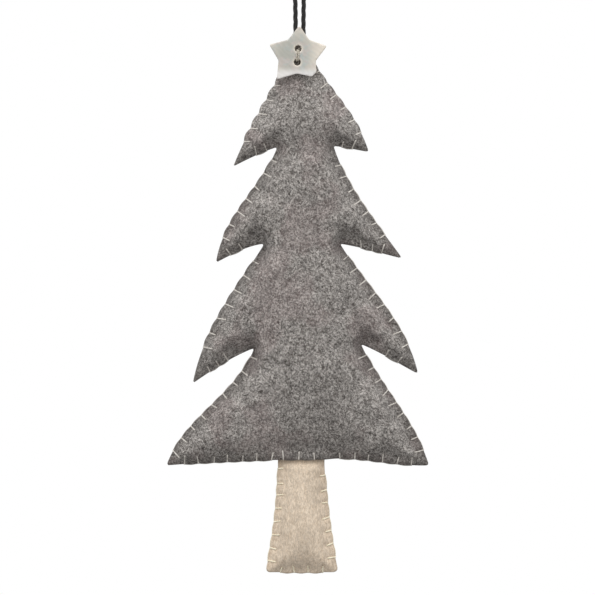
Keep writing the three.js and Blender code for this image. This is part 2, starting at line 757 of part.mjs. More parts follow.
const treeStitch = {
  runDepth: 0,
  faceDepth: barFace(treeDepth, treeFacet),
  bite: barLength(treeOutline, holeMiddles),
  sides: [1, -1],
};
const trunkStitch = {
  runDepth: 0,
  faceDepth: barFace(trunkDepth, trunkFacet),
  bite: barLength(trunkOutline, []),
  sides: [1, -1],
};
const kinds = treeEdges.map((edge) => edge.kind);
const hemEdge = kinds.indexOf("hem");
const stitchSpace = threadDiameter + 2 * pieceGap;
const topInset = apexRound + stitchSpace;
const rightPlaces = stitchPlaces(treeEdges, 0, hemEdge - 1, topInset, stitchSpace);
const leftPlaces = stitchPlaces(treeEdges, hemEdge + 1, treeEdges.length - 1, stitchSpace, topInset);
const hemPlaces = stitchPlaces(treeEdges, hemEdge, hemEdge, stitchSpace, stitchSpace);
const trunkPlaces = stitchPlaces(trunkEdges, 2, 4, 2 * stitchSpace, 2 * stitchSpace);
const hemDepth = seamHalf + trunkLift + feltThickness / 2;
const hemThread = (side) => {
  return blanketStitch(hemPlaces, { ...treeStitch, runDepth: side * hemDepth, sides: [side] });
};

// Cord loop, with a rounded end over the tip for each strand to hinge on.
const hingeBall = 0.9 * cordRadius; // inside the tube, so that it adds no bulge
const hingeHeight = treeTip + pieceGap + hingeBall;
const loopDrop = -cordRoute[0][1];
const loopEnds = [cordRoute[0], cordRoute.at(-1)].map(([x, z]) => {
  return new THREE.SphereGeometry(hingeBall, cordSides, cordSides / 2).translate(x, 0, z);
});
const loopTube = cordTube(cordRoute.map(([x, z]) => [x, 0, z]), cordSteps);
const loop = loopEnds.reduce((whole, end) => whole.add(toSolid(end)), toSolid(loopTube));

const body = new THREE.Group();
body.position.z = -loopDrop - hingeHeight;
body.add(
  named("cord_knot", knot, blackCord),
  named("tree_front_felt", fromSolid(treeFront), greyFelt),
  named("tree_back_felt", tree.back, greyFelt),
  named("tree_filling", fromSolid(treeFilling), stuffing),
  named("tree_thread_left", blanketStitch(leftPlaces, treeStitch), greyThread),
  named("tree_thread_right", blanketStitch(rightPlaces, treeStitch), greyThread),
  named("hem_thread_front", hemThread(1), greyThread),
  named("hem_thread_back", hemThread(-1), greyThread),
  named("trunk_front_felt", trunk.front, beigeFelt),
  named("trunk_back_felt", trunk.back, beigeFelt),
  named("trunk_filling", trunk.filling, stuffing),
  named("trunk_thread", blanketStitch(trunkPlaces, trunkStitch), creamThread),
  star,
  named("button_thread", fromSolid(buttonThread), greyThread),
);

const ornament = new THREE.Group();
ornament.add(named("hanging_cord", fromSolid(loop), blackCord), body);

export default ornament;
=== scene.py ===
import math

import bpy
import numpy as np
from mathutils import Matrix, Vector
from mathutils.bvhtree import BVHTree
from mathutils.geometry import delaunay_2d_cdt


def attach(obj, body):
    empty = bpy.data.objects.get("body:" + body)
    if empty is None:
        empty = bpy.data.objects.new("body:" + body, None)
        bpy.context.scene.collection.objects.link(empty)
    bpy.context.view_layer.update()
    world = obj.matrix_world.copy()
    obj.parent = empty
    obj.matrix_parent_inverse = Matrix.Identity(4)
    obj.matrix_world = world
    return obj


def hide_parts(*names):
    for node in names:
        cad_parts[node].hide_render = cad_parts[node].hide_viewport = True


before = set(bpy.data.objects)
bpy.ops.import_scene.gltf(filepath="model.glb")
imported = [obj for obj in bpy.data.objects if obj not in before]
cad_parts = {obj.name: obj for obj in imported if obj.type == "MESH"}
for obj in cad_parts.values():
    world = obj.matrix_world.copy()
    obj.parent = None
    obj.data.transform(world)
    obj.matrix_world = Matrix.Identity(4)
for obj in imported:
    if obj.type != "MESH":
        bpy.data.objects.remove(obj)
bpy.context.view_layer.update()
scene = bpy.context.scene
mm = 0.001  # the sizes below are in millimetres, unless they say otherwise
print("frame:", len(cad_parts), "nodes")


def newObject(name, data):
    made = bpy.data.objects.new(name, data)
    scene.collection.objects.link(made)
    return made


def newMesh(name, points, faces):
    mesh = bpy.data.meshes.new(name)
    mesh.from_pydata(points, [], faces)
    return mesh


# camera, square on to the front
photoCamera = {
    "middle": (-0.56, -119.3), "width": 166.6, "distance": 2000, "sensor": 36, "clip": (50, 20000),
}


def addCamera(values):
    data = bpy.data.cameras.new("photoCamera")
    data.sensor_width = values["sensor"]
    data.lens = values["sensor"] * values["distance"] / values["width"]
    data.clip_start, data.clip_end = (reach * mm for reach in values["clip"])
    camera = newObject("photoCamera", data)
    x, z = values["middle"]
    camera.location = (x * mm, -values["distance"] * mm, z * mm)
    camera.rotation_euler = (math.pi / 2, 0, 0)
    scene.camera = camera


addCamera(photoCamera)
print("camera placed")


# shared mesh tools
def newSoup():
    return {"points": [], "faces": []}


def newPiece(name, soup, material, body, nodeName):
    mesh = newMesh(name, (np.array(soup["points"], float) * mm).tolist(), soup["faces"])
    mesh.shade_smooth()
    mesh.materials.append(material)
    piece = newObject(name, mesh)
    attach(piece, body)
    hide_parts(nodeName)
    return piece


def paintPoints(piece, label, values):
    layer = piece.data.attributes.new(label, "FLOAT", "POINT")
    layer.data.foreach_set("value", values.astype(np.float32))


def lengths(line):
    return np.concatenate([[0], np.cumsum(np.linalg.norm(np.diff(line, axis=0), axis=1))])


def evenSteps(line, spacing):
    along = lengths(line)
    count = max(2, round(along[-1] / spacing) + 1)
    steps = np.linspace(0, along[-1], count)
    return np.stack([np.interp(steps, along, line[:, k]) for k in range(line.shape[1])], axis=1)


def evenRing(ring, spacing):
    return evenSteps(np.vstack([ring, ring[:1]]), spacing)[:-1]


def roundedCorner(start, corner, end, count):
    t = np.linspace(0, 1, count)[:, None]
    return (1 - t) ** 2 * start + 2 * (1 - t) * t * corner + t**2 * end


def smoothRoute(points, spacing):
    # even steps along a smooth curve through the points
    points = np.array(points, float)
    padded = np.vstack([2 * points[0] - points[1], points, 2 * points[-1] - points[-2]])
    t = np.linspace(0, 1, 16, endpoint=False)[:, None]
    parts = []
    for a, b, c, d in zip(padded, padded[1:], padded[2:], padded[3:]):
        bend, twist = 2 * a - 5 * b + 4 * c - d, 3 * b - a - 3 * c + d
        parts.append(0.5 * (2 * b + (c - a) * t + bend * t**2 + twist * t**3))
    return evenSteps(np.vstack([*parts, points[-1:]]), spacing)


def routeFrames(line):
    tangents = np.gradient(line, axis=0)
    tangents /= np.linalg.norm(tangents, axis=1)[:, None]
    alongY = abs(tangents[0][1]) > 0.9
    side = np.cross(tangents[0], (1, 0, 0) if alongY else (0, 1, 0))
    sides = []
    for tangent in tangents:
        side = side - tangent * (side @ tangent)
        side /= np.linalg.norm(side)
        sides.append(side)
    sides = np.array(sides)
    return sides, np.cross(tangents, sides)


def addTube(soup, line, radius, corners):
    sides, ups = routeFrames(line)
    turn = np.linspace(0, 2 * np.pi, corners, endpoint=False)
    first = len(soup["points"])
    for centre, side, up in zip(line, sides, ups):
        soup["points"].extend(centre + radius * (np.cos(a) * side + np.sin(a) * up) for a in turn)
    for k in range(len(line) - 1):
        for i in range(corners):
            a, b = first + k * corners + i, first + k * corners + (i + 1) % corners
            soup["faces"].append((a, b, b + corners, a + corners))
    last = first + (len(line) - 1) * corners
    soup["faces"].append(tuple(range(first, first + corners))[::-1])
    soup["faces"].append(tuple(range(last, last + corners)))


def addBall(soup, centre, radius, corners=12):
    rings = corners // 2
    first = len(soup["points"])
    soup["points"].append(centre + (0, 0, radius))
    for k in range(1, rings):
        fall = math.pi * k / rings
        for i in range(corners):
            a = 2 * math.pi * i / corners
            way = np.array((math.sin(fall) * math.cos(a), math.sin(fall) * math.sin(a), math.cos(fall)))
            soup["points"].append(centre + radius * way)
    soup["points"].append(centre - (0, 0, radius))
    last = len(soup["points"]) - 1
    for i in range(corners):
        n = (i + 1) % corners
        soup["faces"].append((first, first + 1 + i, first + 1 + n))
        for k in range(rings - 2):
            a, b = first + 1 + k * corners + i, first + 1 + k * corners + n
            soup["faces"].append((a, a + corners, b + corners, b))
        soup["faces"].append((last, last - corners + n, last - corners + i))


def addTwist(soup, line, twist, endShare):
    # plies laid round each other along a line, with a ball at each end
    sides, ups = routeFrames(line)
    along = lengths(line)
    plyRadius = twist["diameter"] * twist["plyShare"] / 2
    reach = twist["diameter"] / 2 - plyRadius
    for ply in range(twist["plies"]):
        angle = 2 * np.pi * (along / twist["lay"] + ply / twist["plies"])
        offset = np.cos(angle)[:, None] * sides + np.sin(angle)[:, None] * ups
        addTube(soup, line + reach * offset, plyRadius, twist["corners"])
    for end in (line[0], line[-1]):
        addBall(soup, end, endShare * twist["diameter"] / 2)


# shared material tools
def node(tree, kind, inputs=(), **settings):
    made = tree.nodes.new(f"ShaderNode{kind}")
    for key, value in settings.items():
        setattr(made, key, value)
    for key, value in dict(inputs).items():
        if isinstance(value, bpy.types.NodeSocket):
            tree.links.new(value, made.inputs[key])
        else:
            made.inputs[key].default_value = value
    return made


def mixed(tree, factor, a, b):
    return node(tree, "Mix", {0: factor, 6: a, 7: b}, data_type="RGBA").outputs[2]


def tinted(tree, color, tint, mask, amount):
    return mixed(tree, counted(tree, "MULTIPLY", mask, amount), color, tint)


def toned(tree, color, tone):
    return node(tree, "VectorMath", {0: color, "Scale": tone}, operation="SCALE").outputs[0]


def ranged(tree, value, low, high, to=(0, 1)):
    inputs = {"Value": value, "From Min": low, "From Max": high, "To Min": to[0], "To Max": to[1]}
    return node(tree, "MapRange", inputs, interpolation_type="SMOOTHSTEP").outputs["Result"]


def counted(tree, operation, *values):
    return node(tree, "Math", dict(enumerate(values)), operation=operation).outputs[0]


def highest(tree, value, *others):
    for other in others:
        value = counted(tree, "MAXIMUM", value, other)
    return value


def noise(tree, vector, scale, detail, **more):
    inputs = {"Vector": vector, "Scale": scale, "Detail": detail, **more}
    return node(tree, "TexNoise", inputs).outputs


def addBump(tree, shader, height, strength, distance):
    bump = node(tree, "Bump", {"Height": height, "Strength": strength, "Distance": distance * mm})
    tree.links.new(bump.outputs[0], shader.inputs["Normal"])


def inMillimetres(tree, stretch=(1, 1, 1)):
    place = node(tree, "TexCoord").outputs["Object"]
    return node(tree, "Mapping", {"Vector": place, "Scale": [s / mm for s in stretch]}).outputs[0]


def srgb(red, green, blue):
    shares = [c / 255 for c in (red, green, blue)]
    return (*(c / 12.92 if c <= 0.04 else ((c + 0.055) / 1.055) ** 2.4 for c in shares), 1)


def newMaterial(name, color, **constants):
    material = bpy.data.materials.new(name)
    material.use_nodes = True
    material.diffuse_color = color
    shader = material.node_tree.nodes["Principled BSDF"]
    for label, value in constants.items():
        shader.inputs[label.replace("_", " ")].default_value = value
    return material, material.node_tree, shader


# felt: matted fibres of two tones lying every way, over a mottled ground
woolFibres = {
    "curl": 0.7, "curlReach": 2.2, "drawn": (1.15, 0.46, 0.46), "fine": 1.2, "width": 0.09,
    "breaks": 0.63, "broken": (0.42, 0.56),  # where a fibre dips under the others
    "light": [(0.4, 3), (2.0, 17), (1.1, 29)],  # which way each lot lies, and where its noise starts
    "dark": [(1.5, 41), (2.8, 59), (0.1, 73)],
    "grain": 1.9, "grainRough": 0.7, "speckle": 0.46, "lift": 0.6,
    "mottle": 0.2, "mottleRough": 0.6, "mottleTone": (0.9, 1.1), "middle": (0.3, 0.7),
    "patch": 0.07, "patched": (0.48, 0.62), "bumpDepth": 0.2,
}


def buildFeltGroup(wool):
    tree = bpy.data.node_groups.new("mattedFibres", "ShaderNodeTree")
    sockets = [("Vector", "Vector", "INPUT"), ("Color", "Color", "OUTPUT"), ("Height", "Float", "OUTPUT")]
    sockets += [(label, "Color", "INPUT") for label in ("Ground", "Light Fibre", "Dark Fibre", "Patch Tint")]
    sockets += [(f"{label} Amount", "Float", "INPUT") for label in ("Light", "Dark", "Tint", "Grain")]
    for label, kind, way in sockets:
        tree.interface.new_socket(label, in_out=way, socket_type=f"NodeSocket{kind}")
    given = tree.nodes.new("NodeGroupInput").outputs
    out = tree.nodes.new("NodeGroupOutput").inputs
    place = given["Vector"]
    wander = noise(tree, place, wool["curl"], 1)["Color"]
    inputs = {0: wander, 1: [wool["curlReach"]] * 3, 2: place}
    bent = node(tree, "VectorMath", inputs, operation="MULTIPLY_ADD").outputs[0]

    def fibres(angle, shift):
        # thin lines where a drawn-out noise passes its middle, broken into short lengths
        turned = {"Location": (shift, 0, 0), "Rotation": (0, angle, 0), "Scale": wool["drawn"]}
        laid = node(tree, "Mapping", {"Vector": bent, **turned}, vector_type="TEXTURE").outputs[0]
        off = counted(tree, "SUBTRACT", noise(tree, laid, wool["fine"], 1)["Fac"], 0.5)
        line = ranged(tree, counted(tree, "ABSOLUTE", off), 0, wool["width"], (1, 0))
        parts = ranged(tree, noise(tree, laid, wool["breaks"], 0)["Fac"], *wool["broken"])
        return counted(tree, "MULTIPLY", line, parts)

    light = highest(tree, *[fibres(*lot) for lot in wool["light"]])
    dark = highest(tree, *[fibres(*lot) for lot in wool["dark"]])
    grain = noise(tree, place, wool["grain"], 2, Roughness=wool["grainRough"])["Fac"]
    mottle = noise(tree, place, wool["mottle"], 3, Roughness=wool["mottleRough"])["Fac"]
    patch = noise(tree, place, wool["patch"], 2)["Fac"]
    patched = ranged(tree, patch, *wool["patched"])
    color = tinted(tree, given["Ground"], given["Dark Fibre"], dark, given["Dark Amount"])
    color = tinted(tree, color, given["Light Fibre"], light, given["Light Amount"])
    color = tinted(tree, color, given["Patch Tint"], patched, given["Tint Amount"])
    tone = ranged(tree, mottle, *wool["middle"], wool["mottleTone"])
    speckle = ranged(tree, grain, *wool["middle"], (-wool["speckle"], wool["speckle"]))
    speckle = counted(tree, "MULTIPLY", speckle, given["Grain Amount"])
    tone = counted(tree, "MULTIPLY_ADD", tone, speckle, tone)
    tree.links.new(toned(tree, color, tone), out["Color"])
    height = counted(tree, "ADD", counted(tree, "MULTIPLY", light, wool["lift"]), grain)
    tree.links.new(height, out["Height"])
    return tree


greyFeltLook = {
    "wool": {
        "Ground": srgb(120, 115, 111), "Light Fibre": srgb(192, 187, 182), "Dark Fibre": srgb(54, 49, 45),
        "Patch Tint": srgb(136, 120, 118),
        "Light Amount": 0.8, "Dark Amount": 0.8, "Tint Amount": 0.3, "Grain Amount": 1.0,
    },
    "pressAndShadeDarkness": 0.52, "stretch": (1, 1, 1), "bump": 0.5,
}
oatmealFeltLook = {
    "wool": {
        "Ground": srgb(216, 199, 178), "Light Fibre": srgb(230, 216, 198), "Dark Fibre": srgb(172, 148, 122),
        "Patch Tint": srgb(204, 187, 167),
        "Light Amount": 0.45, "Dark Amount": 0.43, "Tint Amount": 0.12, "Grain Amount": 0.4,
    },
    "pressAndShadeDarkness": 0.3, "stretch": (1.3, 1.3, 0.53), "bump": 0.3,
}
feltGroup = buildFeltGroup(woolFibres)


def feltMaterial(name, look):
    wool = look["wool"]
    material, tree, shader = newMaterial(
        name, wool["Ground"], Roughness=0.92, Sheen_Weight=0.1, Sheen_Roughness=0.6, Specular_IOR_Level=0.15,
    )
    place = inMillimetres(tree, look["stretch"])
    matted = node(tree, "Group", {"Vector": place, **wool}, node_tree=feltGroup).outputs
    # painted shade, partly pressed felt: the hem attribute darkens the felt towards its dark fibre
    hem = node(tree, "Attribute", attribute_name="hem").outputs["Fac"]
    pressAndShade = ranged(tree, hem, 0, 1, (0, look["pressAndShadeDarkness"]))
    color = mixed(tree, pressAndShade, matted["Color"], wool["Dark Fibre"])
    tree.links.new(color, shader.inputs["Base Color"])
    addBump(tree, shader, matted["Height"], look["bump"], woolFibres["bumpDepth"])
    return material


greyFelt = feltMaterial("greyFelt", greyFeltLook)
oatmealFelt = feltMaterial("oatmealFelt", oatmealFeltLook)


# thread, cord and filling, spun from two tones
spunThread = {"scale": 2.2, "shaded": (0.35, 0.7), "bump": 0.4, "bumpDepth": 0.08}


def threadMaterial(name, color, shade, roughness=0.7):
    material, tree, shader = newMaterial(
        name, color, Roughness=roughness, Sheen_Weight=0.15, Specular_IOR_Level=0.25,
    )
    spun = noise(tree, inMillimetres(tree), spunThread["scale"], 2)["Fac"]
    shaded = mixed(tree, ranged(tree, spun, *spunThread["shaded"]), color, shade)
    tree.links.new(shaded, shader.inputs["Base Color"])
    addBump(tree, shader, spun, spunThread["bump"], spunThread["bumpDepth"])
    return material


greyThread = threadMaterial("greyThread", srgb(212, 207, 200), srgb(184, 178, 170))
creamThread = threadMaterial("creamThread", srgb(246, 238, 216), srgb(224, 212, 184))
buttonCotton = threadMaterial("buttonCotton", srgb(196, 190, 176), srgb(160, 152, 138))
blackCotton = threadMaterial("blackCotton", srgb(20, 19, 19), srgb(34, 32, 31), 0.6)
looseFibre = threadMaterial("looseFibre", srgb(236, 234, 228), srgb(214, 211, 203), 0.9)


# mother of pearl, duller in its middle, creamy to the right, white at the foot as a painted highlight, with
# a painted highlight round the holes
starShellLook = {
    "pale": srgb(210, 203, 189), "film": 300,  # the film in nanometres
    "grey": srgb(175, 174, 162), "heart": (-1.7, -4, -51.3), "heartReach": (2.5, 8),
    "clouds": [  # colour, amount, scale, seed and range of each noise
        (srgb(178, 188, 184), 0.55, 0.34, 5, (0.46, 0.64)),
        (srgb(196, 184, 175), 0.6, 0.42, 9, (0.5, 0.64)),
    ],
    "cream": srgb(228, 219, 202), "creamSide": (1.5, 7.5), "creamAmount": 0.9,
    # painted highlight: white towards the foot
    "white": srgb(231, 228, 224), "footHighlight": (-54.7, -56.9), "footHighlightAmount": 0.82,
    "growth": {"Scale": 0.35, "Distortion": 9, "Detail": 3, "Detail Scale": 0.5, "Detail Roughness": 0.6},
    "growthRange": (0.2, 0.9), "growthTone": (0.975, 1.018), "bump": 0.05, "bumpDepth": 0.1,
}


def shellMaterial(look):
    material, tree, shader = newMaterial(
        "starShell", look["pale"], Roughness=0.22, Coat_Weight=0.4, Coat_Roughness=0.08, IOR=1.53,
        Thin_Film_Thickness=look["film"], Thin_Film_IOR=1.45,
    )
    place = inMillimetres(tree)
    spot = node(tree, "SeparateXYZ", {0: place}).outputs
    off = node(tree, "VectorMath", {0: place, 1: look["heart"]}, operation="DISTANCE").outputs
    color = mixed(tree, ranged(tree, off["Value"], *look["heartReach"]), look["grey"], look["pale"])
    for tint, amount, scale, seed, span in look["clouds"]:
        inputs = {"Vector": place, "W": seed, "Scale": scale, "Detail": 2, "Distortion": 0.8}
        found = node(tree, "TexNoise", inputs, noise_dimensions="4D").outputs["Fac"]
        color = tinted(tree, color, tint, ranged(tree, found, *span), amount)
    side = ranged(tree, spot["X"], *look["creamSide"])
    color = tinted(tree, color, look["cream"], side, look["creamAmount"])
    # painted highlight: white towards the foot
    foot = ranged(tree, spot["Z"], *look["footHighlight"], (0, look["footHighlightAmount"]))
    color = mixed(tree, foot, color, look["white"])
    # painted highlight: cream on the chamfer round each hole
    rim = node(tree, "Attribute", attribute_name="holeRimHighlight").outputs["Fac"]
    color = mixed(tree, rim, color, look["cream"])
    inputs = {"Vector": place, **look["growth"]}
    growth = node(tree, "TexWave", inputs, bands_direction="DIAGONAL").outputs["Fac"]
    lines = ranged(tree, growth, *look["growthRange"], look["growthTone"])
    tree.links.new(toned(tree, color, lines), shader.inputs["Base Color"])
    addBump(tree, shader, growth, look["bump"], look["bumpDepth"])
    return material


starShell = shellMaterial(starShellLook)
print("materials:", len(bpy.data.materials))


# hanging cord, three plies, from the tip over the bend and back
hangingCord = {
    "left": [
        (-1.1, -46), (-1.12, -41), (-1.2, -36), (-1.35, -31), (-1.65, -25), (-2.05, -18),
        (-2.5, -12), (-2.9, -7.5), (-3.15, -4.6), (-3.2, -2.6), (-2.77, -0.97), (-1.6, 0.2),
    ],
    "top": (0, 0.625), "step": 0.3, "endShare": 1.0,
    "twist": {"diameter": 1.34, "plies": 3, "plyShare": 0.62, "lay": 7.6, "corners": 10},
}


def hangCord(values):
    bend = [*values["left"], values["top"], *((-x, z) for x, z in values["left"][::-1])]
    line = smoothRoute([(x, 0, z) for x, z in bend], values["step"])
    soup = newSoup()
    addTwist(soup, line, values["twist"], values["endShare"])
    cord = newPiece("cordLoop", soup, blackCotton, "loop", "hanging_cord")
    print(f"cord: {lengths(line)[-1]:.1f} mm free")


hangCord(hangingCord)


# felt cuts: corners clockwise from the front, each with the edge that leaves it
baseZ = -165.64  # the tree's base line in the frame, from which the cuts measure up
handSewn = {"step": 0.1, "drift": 0.25, "slant": 0.14, "bars": (0.68, 1.25), "puff": 0.8, "outline": 0.42}


def cutCorner(x, z, rounding, bow=(0, 0), stitches=(0, 0, 0), scallop=0, lean=0):
    # bow: how far the edge's two control points stand out, stitches: how far along the first one is, their
    # pitch and their count, scallop: how far the edge swells between them, lean: how far they slope
    first, pitch, count = stitches
    places = first + pitch * np.arange(count)
    return {"at": (x, z), "round": rounding, "bow": bow, "places": places, "scallop": scallop, "lean": lean}


treeCut = {
    "corners": [
        (-0.1, 120.6, 4.0, (-3.0, 3.1), (3.9, 4.2, 8), 0.4),
        (19.4, 87.2, 0.9, (0, -0.2), (4.6, 2.8, 2), 0.1),
        (9.4, 88.9, 0.8, (-3.1, -0.9), (5.8, 3.85, 7), 0.15),
        (28.6, 57.4, 0.9, (0, -0.5), (5.6, 2.95, 3), 0.15),
        (11.2, 61.5, 0.8, (0.0, 4.7), (4.2, 4.3, 8), 0.15),
        (33.1, 25.1, 0.9, (0, -0.6), (6.4, 3.6, 2), 0.15),
        (17.1, 33.4, 0.8, (-1.2, 2.8), (3.5, 3.9, 9), 0.2),
        (36.2, -0.6, 0.9, (1.0, -1.9), (4.9, 4.0, 6), 0.2),
        (7.0, 1.0, 1.1, (0, 0), (2.9, 4.2, 3), 0.2),
        (-6.1, 0.95, 1.1, (-0.2, -0.3), (1.8, 4.05, 7), 0.2),
        (-37.2, -0.6, 0.9, (4.2, -4.2), (4.4, 4.25, 9), 0.25),
        (-12.6, 32.3, 0.9, (-1.1, -0.5), (8.4, 2.8, 3), 0.15),
        (-29.9, 22.4, 0.8, (4.4, 1.2), (10.3, 4.68, 7), 0.4, 0.1),
        (-9.8, 61.5, 0.9, (-1.3, -0.5), (6.4, 3.5, 2), 0.15),
        (-23.4, 56.2, 0.8, (4.4, -1.7), (7.0, 4.33, 7), 0.38),
        (-6.2, 88.6, 0.8, (-0.5, -0.2), (3.0, 3.2, 2), 0.1),
        (-18.7, 83.1, 0.7, (1.3, -1.7), (7.4, 4.55, 6), 0.65, 0.36),
    ],
    "right": slice(0, 8), "hem": 8, "left": slice(9, None),  # the edges that each thread sews
    "bar": 1.9, "seed": 5,
}
trunkCut = {
    "corners": [
        (-5.9, 6, 1.8),
        (6.9, 6, 1.8),
        (6.9, 0, 1.8, (-0.7, -1.0), (3.5, 3.84, 7), 0.25),
        (10.9, -30.6, 1.8, (0, 0), (4.6, 3.95, 4), 0.4),
        (-9.6, -30.6, 1.8, (-1.3, -1.0), (3.5, 3.65, 8), 0.25, 0.16),
        (-5.9, 0, 1.8),
    ],
    "bar": 1.6, "seed": 8,
}


def cutEdges(cut):
    # each edge as a fine line with its stitches
    chance = np.random.default_rng(cut["seed"])
    corners = [cutCorner(*row) for row in cut["corners"]]
    drift = handSewn["drift"]
    t = np.linspace(0, 1, 400)[:, None]
    edges = []
    for corner, following in zip(corners, corners[1:] + corners[:1]):
        a, d = np.array(corner["at"], float), np.array(following["at"], float)
        chord = d - a
        out = np.array((-chord[1], chord[0])) / np.linalg.norm(chord)
        b, c = a + chord / 3 + out * corner["bow"][0], a + 2 * chord / 3 + out * corner["bow"][1]
        line = (1 - t) ** 3 * a + 3 * (1 - t) ** 2 * t * b + 3 * (1 - t) * t**2 * c + t**3 * d
        line = evenSteps(line, handSewn["step"])
        along = lengths(line)
        way = np.gradient(line, axis=0)
        way /= np.linalg.norm(way, axis=1)[:, None]
        outs = np.stack([-way[:, 1], way[:, 0]], axis=1)
        places = corner["places"] + chance.uniform(-drift, drift, len(corner["places"]))
        swell = np.zeros(len(along))
        for start, end in zip(places, places[1:]):
            inside = (along >= start) & (along <= end)
            swell[inside] = np.sin(np.pi * (along[inside] - start) / (end - start)) ** handSewn["puff"]
        line = line + outs * (corner["scallop"] * (swell - 0.5 * (len(places) > 1)))[:, None]
        stitches = []
        for place in places:
            k = int(np.argmin(abs(along - place)))
            lean = chance.normal(corner["lean"], handSewn["slant"])
            inward = -outs[k] * math.cos(lean) + way[k] * math.sin(lean)
            length = cut["bar"] * chance.uniform(*handSewn["bars"])
            stitches.append({"at": line[k], "out": outs[k], "inward": inward, "length": length})
        edges.append({"line": line, "round": corner["round"], "stitches": stitches})
    return edges


def outlineOf(edges, spacing):
    parts = []
    for before, edge, following in zip(edges[-1:] + edges[:-1], edges, edges[1:] + edges[:1]):
        skip, nextSkip = (int(part["round"] / handSewn["step"]) for part in (edge, following))
        parts.append(roundedCorner(before["line"][-1 - skip], edge["line"][0], edge["line"][skip], 12))
        parts.append(edge["line"][skip + 1:-1 - nextSkip])
    return evenRing(np.vstack(parts), spacing)


def stitchesOf(edges):
    return [stitch for edge in edges for stitch in edge["stitches"]]


treeEdges = cutEdges(treeCut)
trunkEdges = cutEdges(trunkCut)
treeOutline = outlineOf(treeEdges, handSewn["outline"])
trunkOutline = outlineOf(trunkEdges, handSewn["outline"])


# flat shapes and the bodies raised over them
def isInside(points, loops):
    crossed = np.zeros(len(points), int)
    for loop in loops:
        for (ax, az), (bx, bz) in zip(loop, np.roll(loop, -1, axis=0)):
            if az == bz:
                continue
            spans = (az > points[:, 1]) != (bz > points[:, 1])
            crossed += spans & (points[:, 0] < ax + (bx - ax) * (points[:, 1] - az) / (bz - az))
    return crossed % 2 == 1


rimStep = 0.25  # how finely an outline is measured


def rimGaps(points, rim):
    # distances to every point of the rim, a part of the points at a time
    return [np.linalg.norm(part[:, None] - rim[None], axis=2) for part in np.array_split(points, 40)]


def edgeDistance(points, loops):
    rim = np.vstack([evenRing(loop, rimStep) for loop in loops])
    return np.concatenate([gaps.min(axis=1) for gaps in rimGaps(points, rim)])


def nearestRim(points, loop):
    # distance to the cut edge, and how far that edge faces up
    rim = evenRing(loop, rimStep)
    way = np.roll(rim, -1, axis=0) - np.roll(rim, 1, axis=0)
    up = way[:, 0] / np.linalg.norm(way, axis=1)
    gaps = rimGaps(points, rim)
    inset = np.concatenate([part.min(axis=1) for part in gaps])
    facing = np.concatenate([up[part.argmin(axis=1)] for part in gaps])
    return inset, facing


def flatMesh(loops, spacing):
    rim = np.vstack(loops)
    low, high = rim.min(axis=0), rim.max(axis=0)
    rows = np.arange(low[1], high[1], spacing * math.sqrt(0.75))
    grid = np.vstack([
        np.stack([xs, np.full(len(xs), z)], axis=1)
        for k, z in enumerate(rows)
        for xs in [np.arange(low[0] + (k % 2) * spacing / 2, high[0], spacing)]
    ])
    grid = grid[isInside(grid, loops)]
    grid = grid[edgeDistance(grid, loops) > 0.6 * spacing]  # no slivers along the edge
    first, rings = 0, []
    for loop in loops:
        rings.append(list(range(first, first + len(loop))))
        first += len(loop)
    made = delaunay_2d_cdt([Vector(p) for p in np.vstack([rim, grid])], [], rings, 1, 1e-6)
    points = np.array([tuple(p) for p in made[0]])
    triangles = np.array([tuple(f) for f in made[2] if len(f) == 3])
    kept = isInside(points[triangles].mean(axis=1), loops)
    return points, triangles[kept]


def rimOf(triangles):
    # directed edges that only one triangle has
    pairs = [(a, b) for t in triangles.tolist() for a, b in zip(t, t[1:] + t[:1])]
    known = set(pairs)
    return [(a, b) for a, b in pairs if (b, a) not in known]


def reliefSoup(points, triangles, frontY, backY, bulge=0, rows=4):
    # a closed body over a flat mesh, with its cut edge swollen between the two faces
    count = len(points)
    rim = rimOf(triangles)
    outward = np.zeros((count, 2))
    for a, b in rim:
        way = points[b] - points[a]
        for k in (a, b):
            outward[k] += (way[1], -way[0])
    soup = newSoup()
    for y in (frontY, backY):
        soup["points"].extend(np.stack([points[:, 0], y, points[:, 1]], axis=1))
    soup["faces"].extend(triangles.tolist())
    soup["faces"].extend((count + triangles[:, ::-1]).tolist())
    onRim = sorted({k for pair in rim for k in pair})
    layers = [{k: k for k in onRim}]
    for row in range(1, rows):
        share = row / rows
        layer = {}
        for k in onRim:
            way = outward[k] / np.linalg.norm(outward[k])
            x, z = points[k] + way * bulge * math.sin(math.pi * share)
            layer[k] = len(soup["points"])
            soup["points"].append((x, frontY[k] * (1 - share) + backY[k] * share, z))
        layers.append(layer)
    layers.append({k: count + k for k in onRim})
    for upper, lower in zip(layers, layers[1:]):
        soup["faces"].extend((upper[a], lower[a], lower[b], upper[b]) for a, b in rim)
    return soup


def moved(soup):
    # from the height over the base line to the frame
    return {"points": np.array(soup["points"], float) + (0, 0, baseZ), "faces": soup["faces"]}


def smoothstep(value, low, high):
    t = np.clip((value - low) / (high - low), 0, 1)
    return t * t * (3 - 2 * t)


def lumps(points, size, seed):
    # slow uneven waves, about -1 to 1
    waves, spread, calm = 7, (0.7, 1.6), 3.2
    chance = np.random.default_rng(seed)
    total = np.zeros(len(points))
    for _ in range(waves):
        angle, phase = chance.uniform(0, 2 * np.pi, 2)
        wave = 2 * np.pi / (size * chance.uniform(*spread))
        total += np.cos(wave * (points @ (math.cos(angle), math.sin(angle))) + phase)
    return total / calm


